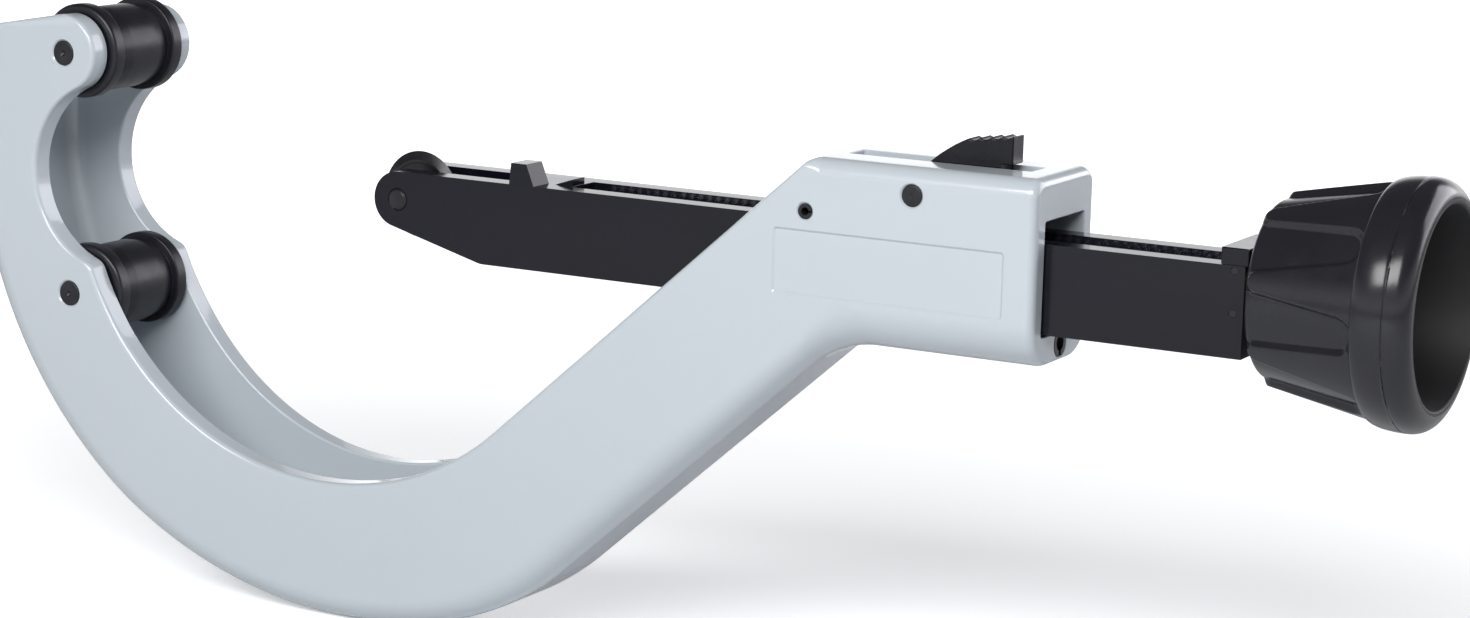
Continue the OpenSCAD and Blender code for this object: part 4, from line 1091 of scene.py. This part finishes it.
# Thumb lever: slot and pin hole for the half nut, and pocket for the spring
HALF_NUT_LEN = 13
HALF_NUT_PIN_D = 2.6
HALF_NUT_FLARE = 0.1
HALF_NUT_TOP = SLIDE_TOP + 0.8 * (ROOF_Z - SLIDE_TOP)
TONGUE = LEVER_W * 0.45 / 2
TONGUE_CORNER = 0.1
SPRING_X = PIVOT.x + 0.68 * PAD_BACK
SPRING_SEAT = PAD_BOTTOM + 0.6 * PAD_H
SPRING_POCKET_R = 2.8
SPRING_POCKET_RUN = 1.1


def pad_line(x):
    """Height of the line over the pad's scallops at x."""
    return PAD_TOP - SCALLOP_RISE * (PAD_REAR - x) / (PAD_REAR - PAD_FRONT)


def pad_top(x):
    """Height of the thumb pad's top at x."""
    if x >= PAD_FRONT:
        t = (x - PAD_FRONT) / (PAD_REAR - PAD_FRONT) * SCALLOPS % 1
        return pad_line(x) - SCALLOP_DEPTH * math.sin(math.pi * t) ** SCALLOP_POWER
    p = Vector((PAD_FRONT, pad_line(PAD_FRONT)))
    q = Vector((PAD_TIP_X, BODY_TOP))
    h = q - p
    u = h.normalized()
    c = (p + q) / 2 + math.sqrt(RAMP_R ** 2 - h.length_squared / 4) * Vector((-u.y, u.x))
    return c.y + math.sqrt(max(RAMP_R ** 2 - (x - c.x) ** 2, 0))


def pad_ring(x, top, bottom, half, r):
    """A cross section of the pad, with corners of radius r."""
    ring = []
    for cy, cz, start in ((half - r, top - r, 0), (-half + r, top - r, 90),
                          (-half + r, bottom + r, 180), (half - r, bottom + r, 270)):
        ring += [(x, cy + r * cosd(start + t), cz + r * sind(start + t)) for t in quarter(5)]
    return ring


def make_pad():
    step = (PAD_REAR - PAD_FRONT) / SCALLOPS / SCALLOP_STEPS
    xs = [RAMP_START + (PAD_FRONT - RAMP_START) * k / RAMP_STEPS for k in range(RAMP_STEPS)]
    xs += [PAD_FRONT + step * k for k in range(SCALLOP_STEPS * SCALLOPS)]
    xs = [x for x in xs if x < PAD_REAR - PAD_CORNER]
    xs += [PAD_REAR - PAD_CORNER * (1 - sind(a)) for a in quarter(10)]
    rings = []
    for last, x in zip(xs[:1] + xs, xs):
        if last <= HEEL_X < x:
            rings += [pad_ring(at, pad_top(HEEL_X), low, PAD_W / 2, PAD_EDGE)
                      for at, low in ((HEEL_X, PAD_BOTTOM), (HEEL_X + HEEL_STEP, HEEL_Z))]
        end = inset(PAD_REAR - x, PAD_EDGE)
        top = pad_top(x) - end
        bottom = HEEL_Z if x > HEEL_X else PAD_BOTTOM
        rings.append(pad_ring(x, top, bottom + end, PAD_W / 2 - inset(PAD_REAR - x, PAD_CORNER),
                              min(PAD_EDGE, (top - bottom) / 2.2)))
    return loft("pad", rings)


def make_lever():
    outline = [Vector(p) for p in (
        (LEVER_FRONT, HALF_NUT_TOP), (PIVOT.x - BOSS / 2, HALF_NUT_TOP),
        (PIVOT.x, PIVOT.y - BOSS / 2), (PIVOT.x + BOSS, PAD_BOTTOM), (HEEL_X, PAD_BOTTOM),
        (HEEL_X, BODY_TOP), (PAD_TIP_X, BODY_TOP), (PIVOT.x - BOSS, ARM_TOP),
        (LEVER_FRONT, ARM_TOP))]
    body = extruded("lever_body_part", outline, LEVER_W)
    hub = lathe("hub", "y", (PIVOT.x, 0, PIVOT.y), [(BOSS, -LEVER_W / 2), (BOSS, LEVER_W / 2)])
    cut(body, hub, operation="UNION")
    cut(body, make_pad(), operation="UNION")
    t = TONGUE + SEAT
    tongue = loft("tongue_slot", box_rings(
        (LEVER_FRONT - OVER, -t, HALF_NUT_TOP - OVER),
        (LEVER_FRONT + HALF_NUT_LEN + SEAT, t, ARM_TOP - TONGUE + SEAT), TONGUE_CORNER))
    pin_at = (LEVER_FRONT + HALF_NUT_LEN / 2, (HALF_NUT_TOP + ARM_TOP - TONGUE) / 2)
    pin_hole = bore("pin_hole", pin_at, HALF_NUT_PIN_D / 2 + SEAT, LEVER_W / 2, HALF_NUT_FLARE)
    pivot_hole = bore("pivot_hole", PIVOT, PIVOT_D / 2 + PLAY, LEVER_W / 2, PIVOT_FLARE)
    pockets = [lathe("pocket", "z", (SPRING_X - back, 0, 0), [
        (SPRING_POCKET_R, PAD_BOTTOM - OVER), (SPRING_POCKET_R, SPRING_SEAT)], n=32)
        for back in (0, SPRING_POCKET_RUN)]
    cut(body, tongue, pin_hole, pivot_hole, *pockets)
    bevel(body, LEVER_EDGE, segments=2, angle=50)
    smooth(body, angle=40)
    return finish_piece(body, "lever_body", "lever_black", "thumb_lever")


make_lever()

# Spring under the thumb pad: one wire in even curls
WIRE_R = 0.35
SPRING_R = 2.15
SPRING_LOW = POCKET_Z + WIRE_R
SPRING_HIGH = SPRING_SEAT - WIRE_R
SPRING_CURLS = 5
CURL_STEPS = 36
WIRE_SIDES = 12


def make_spring():
    count = CURL_STEPS * SPRING_CURLS
    rings = []
    for k in range(count + 1):
        a = 360 * k / CURL_STEPS
        z = SPRING_LOW + (SPRING_HIGH - SPRING_LOW) * k / count
        section = [(SPRING_R + WIRE_R * cosd(b), z + WIRE_R * sind(b))
                   for b in (360 * j / WIRE_SIDES for j in range(WIRE_SIDES))]
        rings.append([(SPRING_X + r * cosd(a), r * sind(a), h) for r, h in section])
    obj = loft("spring_wire", rings)
    smooth(obj, angle=50, weighted=False)
    finish_piece(obj, "frame_body", "bright_steel", "lever_spring")
    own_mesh(obj)
    return obj


make_spring()

# The CAD's own solids that stay, some with broken edges. The weld joins the corners that
# an imported mesh can have twice
WELD_GAP = 1e-6
EDGE_WIDTHS = {"stop_block": 0.35, "end_block": 0.5, "thrust_washer": 0.2,
               "screw_collar": 0.2, "knob_washer": 0.2, "knob_nut": 0.3, "wheel_axle": 0.15,
               "half_nut": 0.2}
cad_slots = {s["node"]: s["material_slot"] for s in frame["record"]["subparts"]}
for node_name, obj in nodes.items():
    if obj.hide_render:
        continue
    obj.data.materials.clear()
    obj.data.materials.append(materials[cad_slots[node_name]])
    if node_name in EDGE_WIDTHS:
        obj.modifiers.new("weld", "WELD").merge_threshold = WELD_GAP
        bevel(obj, EDGE_WIDTHS[node_name], segments=2, angle=40)
        obj.modifiers.new("normals", "WEIGHTED_NORMAL").keep_sharp = True


# Floor, light and camera, in metres

FLOOR_HALF = 6
FLOOR_SEEN = (0.86, 0.87, 0.88)
FLOOR_CAST = (0.7, 0.72, 0.74)
GLOW_NEAR, GLOW_FAR = 0.3, 1
GLOW_LEAST = 0.44
ROOM = (0.96, 0.98, 1)
ROOM_STRENGTH = 0.1
BACKDROP_FADE = (0.1, 0.35)


def coloured(tree, kind, color):
    node = tree.nodes.new(kind)
    node.inputs["Color"].default_value = (*color, 1)
    return node


def mix_shaders(tree, fac, a, b):
    node = tree.nodes.new("ShaderNodeMixShader")
    for socket, source in zip(node.inputs, (fac, a, b)):
        tree.links.new(source, socket)
    return node.outputs[0]


def make_floor():
    mesh = bpy.data.meshes.new("floor")
    s = FLOOR_HALF
    mesh.from_pydata([(-s, -s, 0), (s, -s, 0), (s, s, 0), (-s, s, 0)], [], [(0, 1, 2, 3)])
    obj = bpy.data.objects.new("floor", mesh)
    bpy.context.scene.collection.objects.link(obj)
    mat = bpy.data.materials.new("floor")
    tree, out = new_tree(mat)
    path = tree.nodes.new("ShaderNodeLightPath")
    seen = coloured(tree, "ShaderNodeBsdfDiffuse", FLOOR_SEEN).outputs[0]
    # the floor throws less light back on the tool than it shows
    dim = coloured(tree, "ShaderNodeBsdfDiffuse", FLOOR_CAST).outputs[0]
    cast = mix_shaders(tree, path.outputs["Is Glossy Ray"], dim, seen)
    # further out the floor runs into the white backdrop
    coords = tree.nodes.new("ShaderNodeTexCoord")
    far = tree.nodes.new("ShaderNodeVectorMath")
    far.operation = "LENGTH"
    tree.links.new(coords.outputs["Object"], far.inputs[0])
    glow = tree.nodes.new("ShaderNodeEmission")
    tree.links.new(remap(tree, far.outputs["Value"], GLOW_NEAR, GLOW_FAR, GLOW_LEAST, 1),
                   glow.inputs["Strength"])
    add = tree.nodes.new("ShaderNodeAddShader")
    tree.links.new(seen, add.inputs[0])
    tree.links.new(glow.outputs[0], add.inputs[1])
    tree.links.new(mix_shaders(tree, path.outputs["Is Camera Ray"], cast, add.outputs[0]), out)
    mesh.materials.append(mat)


make_floor()


def make_world():
    world = bpy.data.worlds.new("world")
    bpy.context.scene.world = world
    tree, out = new_tree(world, "ShaderNodeOutputWorld")
    soft = coloured(tree, "ShaderNodeBackground", ROOM)
    soft.inputs["Strength"].default_value = ROOM_STRENGTH
    white = coloured(tree, "ShaderNodeBackground", (1, 1, 1))
    white.inputs["Strength"].default_value = 1
    path = tree.nodes.new("ShaderNodeLightPath").outputs
    coords = tree.nodes.new("ShaderNodeTexCoord")
    split = tree.nodes.new("ShaderNodeSeparateXYZ")
    tree.links.new(coords.outputs["Generated"], split.inputs[0])
    # glossy and clear surfaces show the white backdrop too, as high as it stands. Above
    # it the room is dim
    mirrored_ray = calc(tree, "MAXIMUM", path["Is Glossy Ray"], path["Is Transmission Ray"])
    backdrop = calc(tree, "MULTIPLY", mirrored_ray,
                    remap(tree, split.outputs["Z"], *BACKDROP_FADE, 1, 0))
    shown = calc(tree, "MAXIMUM", path["Is Camera Ray"], backdrop)
    tree.links.new(mix_shaders(tree, shown, soft.outputs[0], white.outputs[0]), out)


make_world()


def area_light(name, place_at, target, size, power, color=(1, 1, 1)):
    data = bpy.data.lights.new(name, "AREA")
    data.shape = "RECTANGLE"
    data.size, data.size_y = size
    data.energy = power
    data.color = color
    obj = bpy.data.objects.new(name, data)
    obj.location = place_at
    aim = Vector(target) - Vector(place_at)
    obj.rotation_euler = aim.to_track_quat("-Z", "Y").to_euler()
    bpy.context.scene.collection.objects.link(obj)


area_light("key", (0.2, -1.2, 0.98), (0, 0, 0.1), (1.5, 0.5), 24.3)
area_light("side", (1.05, 1.15, 0.7), (0.1, 0, 0.12), (1.3, 0.9), 11, (0.95, 0.93, 1))
area_light("back", (-0.5, 1.7, 0.45), (0, 0, 0.1), (3, 0.8), 5.2, (0.95, 0.96, 1))

# The photograph's camera: azimuth, elevation, roll, place and focal length
CAM_AZ, CAM_EL, CAM_ROLL = 28.912, 10.705, -1.453
CAM_AT = (0.5102, -0.8711, 0.2994)
CAM_LENS = 84.0


def make_camera():
    data = bpy.data.cameras.new("camera")
    data.sensor_width = 36
    data.lens = CAM_LENS
    obj = bpy.data.objects.new("camera", data)
    bpy.context.scene.collection.objects.link(obj)
    back = Vector((sind(CAM_AZ) * cosd(CAM_EL), -cosd(CAM_AZ) * cosd(CAM_EL), sind(CAM_EL)))
    right = Vector((cosd(CAM_AZ), sind(CAM_AZ), 0))
    up = back.cross(right)
    turned_right = cosd(CAM_ROLL) * right - sind(CAM_ROLL) * up
    turned_up = sind(CAM_ROLL) * right + cosd(CAM_ROLL) * up
    turn = Matrix((turned_right, turned_up, back)).transposed()
    obj.matrix_world = Matrix.Translation(CAM_AT) @ turn.to_4x4()
    bpy.context.scene.camera = obj


make_camera()
bpy.context.scene.view_settings.view_transform = "Standard"
